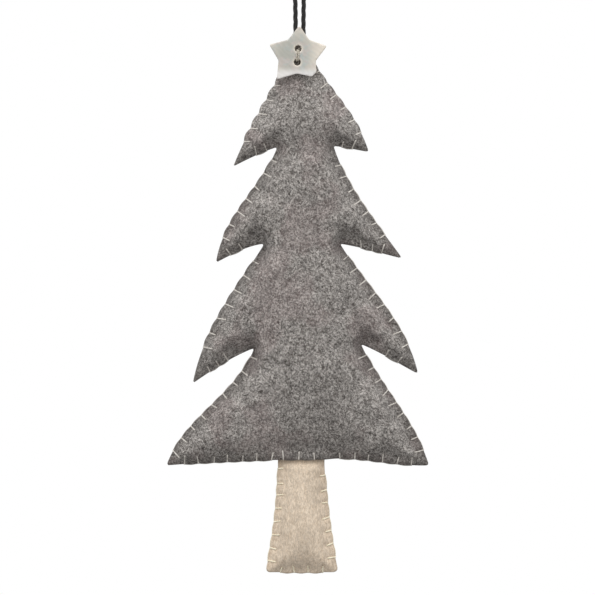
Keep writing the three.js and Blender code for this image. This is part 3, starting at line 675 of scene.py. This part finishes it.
# stuffing: two sheets joined at the cut edge, blown up by cloth simulation
clothSettings = {
    "quality": 7, "mass": 0.25, "tension_stiffness": 18, "compression_stiffness": 18, "shear_stiffness": 8,
    "bending_stiffness": 15, "air_damping": 2, "use_pressure": True, "uniform_pressure_force": 5.0,
}
blowing = {
    "scale": 0.01,  # simulated ten times larger, where the solver's units suit the cloth
    "seam": 0.9, "startShare": 0.6, "startReach": 6,
    "quickShare": 1.6,
    "outside": 60,  # where the form's heights are measured from
}
treeStuffing = {
    "spacing": 1.7, "swell": 7.4, "spare": 0.03, "frames": 26, "fullness": 1.2, "heldAbove": math.inf,
}
trunkStuffing = {
    "spacing": 1.1, "swell": 3.7, "spare": 0.0, "frames": 20, "fullness": 1.0, "heldAbove": -1,
}


def simulateStuffing(form, seamPoints, values):
    form.vertex_groups.new(name="seam").add(seamPoints, 1, "REPLACE")
    cloth = form.modifiers.new("stuffing", "CLOTH")
    for label, value in clothSettings.items():
        setattr(cloth.settings, label, value)
    cloth.settings.shrink_min = -values["spare"]
    cloth.settings.vertex_group_mass = "seam"
    cloth.settings.effector_weights.gravity = 0
    cloth.collision_settings.use_collision = False
    cloth.point_cache.frame_start, cloth.point_cache.frame_end = 1, values["frames"]
    for k in range(1, values["frames"] + 1):
        scene.frame_set(k)


def blowUp(name, edges, values):
    scale, seam, outside = (blowing[key] for key in ("scale", "seam", "outside"))
    loop = outlineOf(edges, values["spacing"])
    points, triangles = flatMesh([loop], values["spacing"])
    inset = edgeDistance(points, [loop])
    held = (inset < seam) | (points[:, 1] > values["heldAbove"])
    rise = 1 - np.exp(-(inset - seam) / blowing["startReach"])
    rise = np.where(held, 0, values["swell"] * blowing["startShare"] * rise)
    rim = {k for pair in rimOf(triangles) for k in pair}
    count = len(points)
    back = [k if k in rim else count + k for k in range(count)]
    spots = np.column_stack([points, rise]).tolist()
    sheets = [(x * scale, side * y * scale, z * scale) for side in (-1, 1) for x, z, y in spots]
    faces = triangles.tolist() + [[back[k] for k in t[::-1]] for t in triangles.tolist()]
    form = newObject(name, newMesh(name, sheets, faces))
    sewn = np.flatnonzero(held).tolist()
    simulateStuffing(form, sewn + [back[k] for k in sewn], values)
    form.modifiers.new("smooth", "SUBSURF").levels = 2
    shown = form.evaluated_get(bpy.context.evaluated_depsgraph_get()).to_mesh()
    corners = [vertex.co / scale for vertex in shown.vertices]
    blown = BVHTree.FromPolygons(corners, [polygon.vertices[:] for polygon in shown.polygons])
    top = max(abs(vertex.co.y) for vertex in shown.vertices) / scale
    bpy.data.objects.remove(form)
    scene.frame_set(1)
    print(f"{name}: blown up to {top:.1f} mm, {count} points a side")

    def heights(spots, side):
        found = np.zeros(len(spots))
        for k, (x, z) in enumerate(spots):
            hit = blown.ray_cast(Vector((x, side * outside, z)), Vector((0, -side, 0)))[0]
            if hit is not None:
                found[k] = max(0, side * hit.y)
        full = values["fullness"]
        return values["swell"] * np.tanh(full * found / top) / math.tanh(full)

    return heights


treeHeights = blowUp("treeForm", treeEdges, treeStuffing)
trunkHeights = blowUp("trunkForm", trunkEdges, trunkStuffing)


# star button, whose outline the felt behind it follows
starButton = {
    "middle": (-0.5, -51.6625), "back": 3.175, "thick": 1.6, "lean": 3.5, "turn": 8,
    "outline": [  # across and up from the middle of the holes, and how far the corner is rounded
        (0.5, 8.4, 1.05), (3.2, 4.35, 0.5), (8.15, 2.6, 0.6), (5.05, -1.5, 0.5), (5.25, -4.6, 0.45),
        (4.0, -5.95, 0.5), (-0.25, -5.1, 0.5), (-5.85, -6.7, 0.6), (-5.35, -1.4, 0.5), (-7.95, 3.0, 0.6),
        (-2.7, 4.4, 0.5),
    ],
    # the hole rim values set the reach and amount of the painted highlight round the holes
    "hole": 1.9, "holeSpacing": 3.8, "holeRimHighlight": 0.45, "rimHighlightAmount": 0.8,
    "edge": 0.2, "backEdge": 0.6, "wave": 0.07, "waveSize": 7, "seed": 4, "spacing": 0.28, "rimSpacing": 0.8,
}


# how the filling shapes the panels
treeShape = {
    "packing": 16, "samples": 9, "filled": 3,  # how far up and down the filling evens itself out
    "evened": 0.85, "ownSwell": 0.52, "topTier": (72, 94),  # the top tier keeps a swell of its own
    "middle": (3, 10), "notchReach": 8, "notchInset": (0.3, 3.5), "notchSide": (-1.5, 1),
    "hemTaper": 0.55, "hemHeight": 25, "fullSides": 0.68, "sides": (8, 22),  # the hem's sides stay fuller
    "thinTip": 0.15, "tip": (84, 104),  # the button keeps the tip thin
    "lumpSize": 13, "lumpSeed": 3, "lumpSwell": (1, 5),
}
trunkShape = {
    "topShare": 0.45, "topReach": 16, "footShare": 0.7, "footReach": 14,
    "lumpSize": 14, "lumpSeed": 13, "lumpShare": 0.4, "lumpSwell": (1, 3),
}
seamOpenings = {  # the button draws the felt flat, the cord and the trunk need room between the panels
    "star": (-0.5, 113.98), "starReach": (0.2, 17.5), "starLift": 1.75, "starInset": (1, 4.5),
    "cordReach": 1.9, "cordRamp": 1.8, "cordDepth": 24.6, "cordLift": 0.88,
    "trunkX": 0.4, "trunkReach": 7.4, "trunkRamp": 3.4, "trunkHeight": 9.3, "trunkLift": 1.4, "ramp": 7,
}
felt = {
    "thick": 1.2, "gap": 0.1, "lump": 0.14, "rim": 0.5, "rimReach": (-0.6, 2.2),
    "thinnest": 0.3, "bulge": 0.16,
    "groove": 0.32, "grooveInset": 2.0, "grooveWidth": 0.7,
    "hemGroove": 0.25, "grooveFacing": (-0.2, 0.4),  # the thread pulls less along the hem
    "dent": 0.3, "deepest": 1.3, "barDent": 0.6, "barWidth": 0.45, "endWidth": 0.75,
}
treeNotches = [(x, z) for x, z, *_ in treeCut["corners"] if abs(x) < 18 and 20 < z < 100]


def besideStar(points):
    # how far outside the button's outline, wherever its play lets it turn
    away = np.full(len(points), np.inf)
    ring = np.array(starButton["outline"])[:, :2]
    for angle in np.radians((-starButton["turn"], 0, starButton["turn"])):
        across, up = (math.cos(angle), -math.sin(angle)), (math.sin(angle), math.cos(angle))
        loop = np.stack([ring @ across, ring @ up], axis=1) + seamOpenings["star"]
        away = np.minimum(away, np.where(isInside(points, [loop]), 0, edgeDistance(points, [loop])))
    return away


def packedHeights(points, side):
    # filling pushed through the necks makes one smooth column of the middle, slimmer at the hem
    shape, spots = treeShape, seamOpenings
    x, z = points.T
    here = treeHeights(points, side)
    steps = np.linspace(-shape["packing"], shape["packing"], shape["samples"])
    column = np.array([treeHeights(points + (0, step), side) for step in steps])
    weight = smoothstep(column, 0, shape["filled"]) + 1e-3
    level = (column * weight).sum(axis=0) / weight.sum(axis=0)
    inset = edgeDistance(points, [treeOutline])
    evened = shape["evened"] - shape["ownSwell"] * smoothstep(z, *shape["topTier"])
    full = smoothstep(inset, *shape["middle"])
    for notchX, notchZ in treeNotches:
        near = np.exp(-((x - notchX) ** 2 + (z - notchZ) ** 2) / shape["notchReach"] ** 2)
        beside = 1 - smoothstep((x - notchX) * np.sign(notchX), *shape["notchSide"])
        full = np.maximum(full, near * beside * smoothstep(inset, *shape["notchInset"]))
    packed = here + (level - here) * evened * full
    taper = shape["hemTaper"] * (1 - shape["fullSides"] * smoothstep(abs(x), *shape["sides"]))
    packed *= 1 - taper * (1 - smoothstep(z, 0, shape["hemHeight"]))
    packed *= 1 - shape["thinTip"] * smoothstep(z, *shape["tip"])
    under = spots["starLift"] * smoothstep(inset, *spots["starInset"])
    start, end = spots["starReach"]
    away = np.clip((besideStar(points) - start) / (end - start), 0, 1)
    return under + (packed - under) * (1 - (1 - away) ** 2)


def within(value, reach, ramp):
    return 1 - smoothstep(value, reach, reach + ramp)


def treeDepth(points, side):
    # from the seam's plane to the inside of the felt
    shape, spots = treeShape, seamOpenings
    x, z = points.T
    swell = packedHeights(points, side)
    nearCord = within(abs(x), spots["cordReach"], spots["cordRamp"])
    nearCord *= within(treeOutline[:, 1].max() - z, spots["cordDepth"], spots["ramp"])
    nearTrunk = within(abs(x - spots["trunkX"]), spots["trunkReach"], spots["trunkRamp"])
    nearTrunk *= within(z, spots["trunkHeight"], spots["ramp"])
    lifted = np.maximum.reduce([swell, spots["cordLift"] * nearCord, spots["trunkLift"] * nearTrunk])
    uneven = lumps(points, shape["lumpSize"], shape["lumpSeed"] + side) * felt["lump"]
    return felt["gap"] / 2 + lifted + uneven * smoothstep(swell, *shape["lumpSwell"])


def trunkDepth(points, side):
    shape = trunkShape
    z = points[:, 1]
    swell = trunkHeights(points, side)
    swell *= shape["topShare"] + (1 - shape["topShare"]) * smoothstep(-z, 0, shape["topReach"])
    foot = smoothstep(z - trunkOutline[:, 1].min(), 0, shape["footReach"])
    swell *= shape["footShare"] + (1 - shape["footShare"]) * foot
    uneven = lumps(points, shape["lumpSize"], shape["lumpSeed"] + side) * shape["lumpShare"] * felt["lump"]
    return felt["gap"] / 2 + swell + uneven * smoothstep(swell, *shape["lumpSwell"])


# felt panels, darker where the thread presses them, with painted shade along their edges, under the hem and
# in their creases
feltShade = {
    "hem": (-4, 12), "hemShare": 0.9, "underside": 0.2, "facing": (-0.2, 0.5), "reach": 2.1,
    "topFade": 0.75, "topTier": (78, 96),
    "cutAmount": 0.6, "cutReach": 0.5, "cutFacing": (-0.6, 0.2),  # painted shade on cut edges that face down
}
# x, z, reach and amount of each darker spot: the branch tips and hem corners, and a few patches
treeDarkSpots = [(x, z, *((10, 0.3) if z < 0 else (8, 0.8))) for x, z, *_ in treeCut["corners"] if abs(x) > 18]
treeDarkSpots += [(x + 1.6 * np.sign(x), z + 2.8, 4, 0.36) for x, z in treeNotches]  # painted shade in the crease above each notch
treeDarkSpots += [(0.8, 98, 6, 0.37), (3.2, 36, 7.5, 0.4), (8.5, 12.5, 10, 0.42), (-2.5, 3, 7, 0.6)]
# the trunk's darker foot corners
trunkDarkSpots = [(x, z, 5, 0.3) for x, z, *_ in trunkCut["corners"] if z < 0]
trunkDarkSpots += [(x, 0.5, 1.7, 1.0) for x in (-5.5, -3, -0.5, 2, 4.5, 6.8)]  # painted shadow: the dark line under the tree's hem
treePanel = {
    "part": "tree", "loop": treeOutline, "stitches": stitchesOf(treeEdges), "depth": treeDepth,
    "spacing": 0.62, "filled": 2.2, "flat": (75, 120.5), "darkSpots": treeDarkSpots,
    "material": greyFelt, "slot": "grey_felt",
}
trunkPanel = {
    "part": "trunk", "loop": trunkOutline, "stitches": stitchesOf(trunkEdges), "depth": trunkDepth,
    "spacing": 0.5, "filled": 1.4, "flat": (20.5, 36.8), "darkSpots": trunkDarkSpots,
    "material": oatmealFelt, "slot": "beige_felt",
}


def stitchDents(points, stitches):
    # how far the bars press the felt in, most where they go through it
    depth = np.zeros(len(points))
    for stitch in stitches:
        way = stitch["inward"] * stitch["length"]
        share = np.clip((points - stitch["at"]) @ way / (way @ way), 0, 1)
        off = np.linalg.norm(points - stitch["at"] - share[:, None] * way, axis=1)
        end = np.linalg.norm(points - stitch["at"] - way, axis=1)
        bar = felt["barDent"] * np.exp(-(off / felt["barWidth"]) ** 2)
        depth = np.maximum(depth, bar + np.exp(-(end / felt["endWidth"]) ** 2))
    return felt["dent"] * np.minimum(depth, felt["deepest"])


def feltFace(points, side, panel):
    # the outer face: thickness of the felt, a groove along the stitches, a dent under each bar
    inset, facing = nearestRim(points, panel["loop"])
    groove = felt["groove"] * np.exp(-((inset - felt["grooveInset"]) / felt["grooveWidth"]) ** 2)
    groove *= felt["hemGroove"] + (1 - felt["hemGroove"]) * smoothstep(facing, *felt["grooveFacing"])
    thick = felt["thick"] * (felt["rim"] + (1 - felt["rim"]) * smoothstep(inset, *felt["rimReach"]))
    return panel["depth"](points, side) + thick - groove - stitchDents(points, panel["stitches"])


def pressAndShadeOf(spots, panel):
    # how far the thread presses the felt along its edge, with painted shade there, on cut edges that face
    # down and at the darker spots
    x, z = spots.T
    inset, facing = nearestRim(spots, panel["loop"])
    low, high = feltShade["hem"]
    share = np.where((z < high) & (z > low), feltShade["hemShare"], feltShade["underside"])
    share = share + (1 - share) * smoothstep(facing, *feltShade["facing"])
    pressAndShade = np.exp(-inset / feltShade["reach"]) * share
    pressAndShade *= 1 - feltShade["topFade"] * smoothstep(z, *feltShade["topTier"])
    # painted shade along cut edges that face down
    cut = feltShade["cutAmount"] * np.exp(-inset / feltShade["cutReach"])
    pressAndShade = np.maximum(pressAndShade, cut * (1 - smoothstep(facing, *feltShade["cutFacing"])))
    for spotX, spotZ, reach, amount in panel["darkSpots"]:
        pressAndShade = np.maximum(pressAndShade, amount * np.exp(-(np.hypot(x - spotX, z - spotZ) / reach) ** 2))
    return pressAndShade


def feltPanel(panel, side, face):
    part = panel["part"]
    points, triangles = flatMesh([panel["loop"]], panel["spacing"])
    inner = panel["depth"](points, side)
    outer = np.maximum(feltFace(points, side, panel), inner + felt["thinnest"] * felt["thick"])
    front, back = (-outer, -inner) if side < 0 else (inner, outer)
    soup = reliefSoup(points, triangles, front, back, felt["bulge"])
    name = f"{part}{face.title()}Felt"
    piece = newPiece(name, moved(soup), panel["material"], "tree", f"{part}_{face}_felt")
    # pressed felt and painted shade, kept as the hem attribute
    paintPoints(piece, "hem", pressAndShadeOf(np.array(soup["points"])[:, [0, 2]], panel))
    print(f"{name}: {len(triangles)} triangles a face")


for side, face in ((-1, "front"), (1, "back")):
    feltPanel(treePanel, side, face)
    feltPanel(trunkPanel, side, face)


# fillings, just inside the felt
fibreFilling = {"spacing": 1.6, "clear": 0.25, "bulge": 0.3, "fill": 0.7}


def onePatch(count, triangles):
    # without points on which two patches hang, and without loose tufts
    while True:
        starts = np.bincount([a for a, _ in rimOf(triangles)], minlength=count)
        pinched = (starts > 1)[triangles].any(axis=1)
        if not pinched.any():
            break
        triangles = triangles[~pinched]
    tuft = np.arange(count)
    while True:
        spread = tuft.copy()
        np.minimum.at(spread, triangles, tuft[triangles].min(axis=1)[:, None])
        if (spread == tuft).all():
            break
        tuft = spread
    tufts = tuft[triangles[:, 0]]
    return triangles[tufts == np.bincount(tufts).argmax()]


def fillPanel(panel, values):
    points, triangles = flatMesh([panel["loop"]], values["spacing"])
    front, back = (panel["depth"](points, side) - values["clear"] for side in (-1, 1))
    filled = np.minimum(front, back) > panel["filled"]
    kept = onePatch(len(points), triangles[filled[triangles].all(axis=1)])
    used, index = np.unique(kept, return_inverse=True)
    soup = reliefSoup(points[used], index.reshape(-1, 3), -front[used], back[used], values["bulge"])
    part = panel["part"]
    filling = newPiece(f"{part}Filling", moved(soup), looseFibre, "tree", f"{part}_filling")


fillPanel(treePanel, fibreFilling)
fillPanel(trunkPanel, fibreFilling)
print("fillings in")


# blanket stitch, bars over the cut edge and a purl from bar to bar along it
treeThread = {"diameter": 0.39, "material": greyThread, "slot": "grey_thread"}
trunkThread = {"diameter": 0.43, "material": creamThread, "slot": "cream_thread"}
blanketStitch = {
    "corners": 7, "step": 0.22, "sunk": 0.5, "end": 0.9,  # how deep the bar lies, and its end goes in
    "bar": (1.12, 1.0, 0.75, 0.5, 0.25, 0.04), "shoulder": 0.16, "shoulderShare": 0.72,
    "hemBar": (1.12, 1.0, 0.6, 0.3, 0.04), "hemUnder": 0.7,
    "purlOut": 0.12, "purlSwell": 0.1, "purlStep": 0.4,
}


def barLeg(stitch, side, shares, panel, thread):
    # along one face, from the end that goes into the felt out to the edge
    spots = stitch["at"] + np.outer(np.array(shares) * stitch["length"], stitch["inward"])
    heights = feltFace(spots, side, panel) + thread["diameter"] / 2 * (1 - blanketStitch["sunk"])
    heights[0] -= blanketStitch["end"]
    leg = np.stack([spots[:, 0], side * heights, spots[:, 1]], axis=1)
    return leg, heights[-1], stitch["at"] + stitch["out"] * blanketStitch["shoulder"]


def barLine(stitch, panel, thread):
    # one thread: out of the back, over the cut edge, into the front
    line = []
    for side in (1, -1):
        leg, height, (x, z) = barLeg(stitch, side, blanketStitch["bar"], panel, thread)
        corner = [(x, side * blanketStitch["shoulderShare"] * height, z)]
        line += [*leg, *corner] if side > 0 else [*corner, *leg[::-1]]
    return line


def addThread(soup, route, step, thread):
    addTube(soup, smoothRoute(route, step), thread["diameter"] / 2, blanketStitch["corners"])


def sewRun(name, nodeName, edges, panel, thread):
    soup = newSoup()
    stitches = stitchesOf(edges)
    for stitch in stitches:
        addThread(soup, barLine(stitch, panel, thread), blanketStitch["step"], thread)
    for edge in edges:
        for a, b in zip(edge["stitches"], edge["stitches"][1:]):
            start, end = (stitch["at"] + stitch["out"] * blanketStitch["purlOut"] for stitch in (a, b))
            middle = (start + end) / 2 + (a["out"] + b["out"]) * blanketStitch["purlSwell"]
            purl = [(x, 0, z) for x, z in (start, middle, end)]
            addThread(soup, purl, blanketStitch["purlStep"], thread)
    newPiece(name, moved(soup), thread["material"], "tree", nodeName)
    print(f"{name}: {len(stitches)} stitches")


def sewHem(name, nodeName, side, panel, thread):
    # over the trunk each panel's lower edge is caught by itself
    soup = newSoup()
    for stitch in treeEdges[treeCut["hem"]]["stitches"]:
        leg, height, (x, z) = barLeg(stitch, side, blanketStitch["hemBar"], panel, thread)
        under = (x, side * (height - blanketStitch["hemUnder"]), z)
        addThread(soup, [under, *leg[::-1]], blanketStitch["step"], thread)
    newPiece(name, moved(soup), thread["material"], "tree", nodeName)


sewRun("treeStitchesRight", "tree_thread_right", treeEdges[treeCut["right"]], treePanel, treeThread)
sewRun("treeStitchesLeft", "tree_thread_left", treeEdges[treeCut["left"]], treePanel, treeThread)
sewRun("trunkStitches", "trunk_thread", trunkEdges, trunkPanel, trunkThread)
sewHem("hemStitchesFront", "hem_thread_front", -1, treePanel, treeThread)
sewHem("hemStitchesBack", "hem_thread_back", 1, treePanel, treeThread)


# star button, cut from shell, with two holes
def starLoops(star):
    corners, roundings = np.array(star["outline"])[:, :2], np.array(star["outline"])[:, 2]
    parts = []
    for before, here, after, rounding in zip(
        np.roll(corners, 1, axis=0), corners, np.roll(corners, -1, axis=0), roundings,
    ):
        start = here + (before - here) / np.linalg.norm(before - here) * rounding
        end = here + (after - here) / np.linalg.norm(after - here) * rounding
        parts.append(roundedCorner(start, here, end, 8))
    loops = [evenRing(np.vstack(parts), star["spacing"] * star["rimSpacing"])]
    turn = np.linspace(0, 2 * np.pi, 32, endpoint=False)
    lean = math.radians(star["lean"])
    for side in (1, -1):
        middle = np.array((math.sin(lean), math.cos(lean))) * side * star["holeSpacing"] / 2
        loops.append(middle + np.stack([np.cos(turn), np.sin(turn)], axis=1) * star["hole"] / 2)
    return loops


def cutStar(star):
    loops = starLoops(star)
    points, triangles = flatMesh(loops, star["spacing"])
    inset = np.minimum(edgeDistance(points, loops), star["edge"])
    drop = star["edge"] - np.sqrt(star["edge"] ** 2 - (star["edge"] - inset) ** 2)
    waves = star["wave"] * lumps(points, star["waveSize"], star["seed"])
    front = -(star["back"] + star["thick"]) + drop + waves
    back = np.full(len(points), -star["back"]) - star["backEdge"] * drop
    soup = reliefSoup(points, triangles, front, back, rows=2)
    soup["points"] = np.array(soup["points"]) + (star["middle"][0], 0, star["middle"][1])
    piece = newPiece("starButton", soup, starShell, "star", "star_button")
    spots = soup["points"][:, [0, 2]] - star["middle"]
    # painted highlight on the chamfer round each hole
    rimHighlight = np.exp(-(edgeDistance(spots, loops[1:]) / star["holeRimHighlight"]) ** 2)
    paintPoints(piece, "holeRimHighlight", star["rimHighlightAmount"] * rimHighlight)
    print("star cut")


cutStar(starButton)


# button thread: two strands over the star and down through its holes
buttonThread = {
    "strand": 0.42, "corners": 8, "step": 0.2, "apart": 0.2, "bow": 0.12, "inner": -0.9,
    "inside": 0.47,  # it bears on the near side of each hole
    "over": [(1, 0.7), (0.93, -0.1), (0.5, -0.32)], "crown": -0.36,  # way out, and y off the star's face
}


def sewButton(values, star):
    soup = newSoup()
    lean = math.radians(star["lean"])
    up = np.array((math.sin(lean), 0, math.cos(lean)))
    across = np.array((math.cos(lean), 0, -math.sin(lean)))
    middle = np.array((star["middle"][0], 0, star["middle"][1]))
    half = star["holeSpacing"] / 2 - values["inside"]
    front = -(star["back"] + star["thick"])
    heights = [(half, values["inner"]), *((half * share, front + y) for share, y in values["over"])]
    for side in (-1, 1):
        base = middle + across * values["apart"] * side
        route = [base + up * z + (0, y, 0) for z, y in heights]
        route += [base + across * values["bow"] * side + (0, front + values["crown"], 0)]
        route += [base - up * z + (0, y, 0) for z, y in heights[::-1]]
        addTube(soup, smoothRoute(route, values["step"]), values["strand"] / 2, values["corners"])
    newPiece("buttonThread", soup, buttonCotton, "tree", "button_thread")


sewButton(buttonThread, starButton)


# the cord's tails inside the tip, with the knot that holds them
cordTails = {
    "strandX": 1.1, "top": -46.0, "step": 0.3, "endShare": 0.95,
    "knotTop": -67.86, "knotHeight": 4.2, "turns": 2, "turnSteps": 12, "wound": 1.55,
    "lead": 1.25, "slack": 0.3,
}


def tieTails(values, twist):
    x, top, knotTop, wound = (values[key] for key in ("strandX", "top", "knotTop", "wound"))
    middle, low = (top + knotTop) / 2, knotTop - values["knotHeight"]
    route = [(-x, 0, top), (-x, 0, middle), (-wound, 0, knotTop + values["lead"])]
    steps = values["turnSteps"] * values["turns"]
    for k in range(steps + 1):
        angle = math.pi + 2 * math.pi * values["turns"] * k / steps
        z = knotTop - values["knotHeight"] * k / steps
        route.append((wound * math.cos(angle), wound * math.sin(angle), z))
    route += [(-wound / 2, 0, low - wound / 2 - values["slack"]), (0, 0, low), (0, 0, knotTop)]
    route += [(x, 0, middle), (x, 0, top)]
    soup = newSoup()
    addTwist(soup, smoothRoute(route, values["step"]), twist, values["endShare"])
    newPiece("cordTails", soup, blackCotton, "tree", "cord_knot")


tieTails(cordTails, hangingCord["twist"])
print("cord tails tied")


# stage, in metres: floor under the hanging piece, soft light from above the camera, white all round
studio = {
    "floorZ": -0.36, "floorSize": 0.35, "floorFade": (0.35, 0.95), "floorGrain": 40,
    "floorTones": (0.88, 0.92), "floorBounce": 0.22,  # as the camera sees it, and as it lights the piece
    "below": 0.03, "above": 1.46,
    "key": 1.7, "keySize": 0.5, "keyPlace": (-0.05, -0.42, 0.40), "aim": (0, 0, -0.12),
}


def grey(tone):
    return (tone, tone, tone, 1)


def addFloor(values):
    size = values["floorSize"]
    corners = [(-size, -size, 0), (size, -size, 0), (size, size, 0), (-size, size, 0)]
    floor = newObject("studioFloor", newMesh("studioFloor", corners, [(0, 1, 2, 3)]))
    floor.location.z = values["floorZ"]
    material, tree, shader = newMaterial("studioFloor", grey(0.9), Roughness=0.9, Specular_IOR_Level=0.1)
    place = node(tree, "TexCoord").outputs["Object"]
    path = node(tree, "LightPath").outputs
    seen = highest(tree, path["Is Camera Ray"], path["Is Glossy Ray"])
    grain = noise(tree, place, values["floorGrain"], 2)["Fac"]
    pale = mixed(tree, grain, *(grey(tone) for tone in values["floorTones"]))
    color = mixed(tree, seen, grey(values["floorBounce"]), pale)
    tree.links.new(color, shader.inputs["Base Color"])
    reach = node(tree, "VectorMath", {0: place}, operation="LENGTH").outputs["Value"]
    fade = ranged(tree, reach, *(share * size for share in values["floorFade"]))
    gone = highest(tree, fade, node(tree, "NewGeometry").outputs["Backfacing"])
    clear = node(tree, "BsdfTransparent").outputs[0]
    shown = node(tree, "MixShader", {0: gone, 1: shader.outputs[0], 2: clear})
    tree.links.new(shown.outputs[0], tree.nodes["Material Output"].inputs["Surface"])
    floor.data.materials.append(material)


def addLamp(values):
    data = bpy.data.lights.new("keyLamp", "AREA")
    data.energy, data.size = values["key"], values["keySize"]
    lamp = newObject("keyLamp", data)
    lamp.location = values["keyPlace"]
    way = Vector(values["aim"]) - Vector(values["keyPlace"])
    lamp.rotation_euler = way.to_track_quat("-Z", "Y").to_euler()
    lamp.visible_camera = False


def addWorld(values):
    world = bpy.data.worlds.new("whiteRoom")
    scene.world = world
    world.use_nodes = True
    tree = world.node_tree
    tree.nodes.clear()
    path = node(tree, "LightPath").outputs
    seen = highest(tree, path["Is Camera Ray"], path["Is Glossy Ray"], path["Is Transmission Ray"])
    way = node(tree, "SeparateXYZ", {0: node(tree, "TexCoord").outputs["Generated"]})
    span = {"From Min": -1, "From Max": 1, "To Min": values["below"], "To Max": values["above"]}
    dome = node(tree, "MapRange", {"Value": way.outputs["Z"], **span}).outputs["Result"]
    fill = node(tree, "Background", {"Color": grey(1), "Strength": dome})
    white = node(tree, "Background", {"Color": grey(1), "Strength": 1})
    both = node(tree, "MixShader", {0: seen, 1: fill.outputs[0], 2: white.outputs[0]})
    out = node(tree, "OutputWorld")
    tree.links.new(both.outputs[0], out.inputs["Surface"])


addFloor(studio)
addWorld(studio)
addLamp(studio)
scene.view_settings.view_transform = "Standard"
print("stage lit")
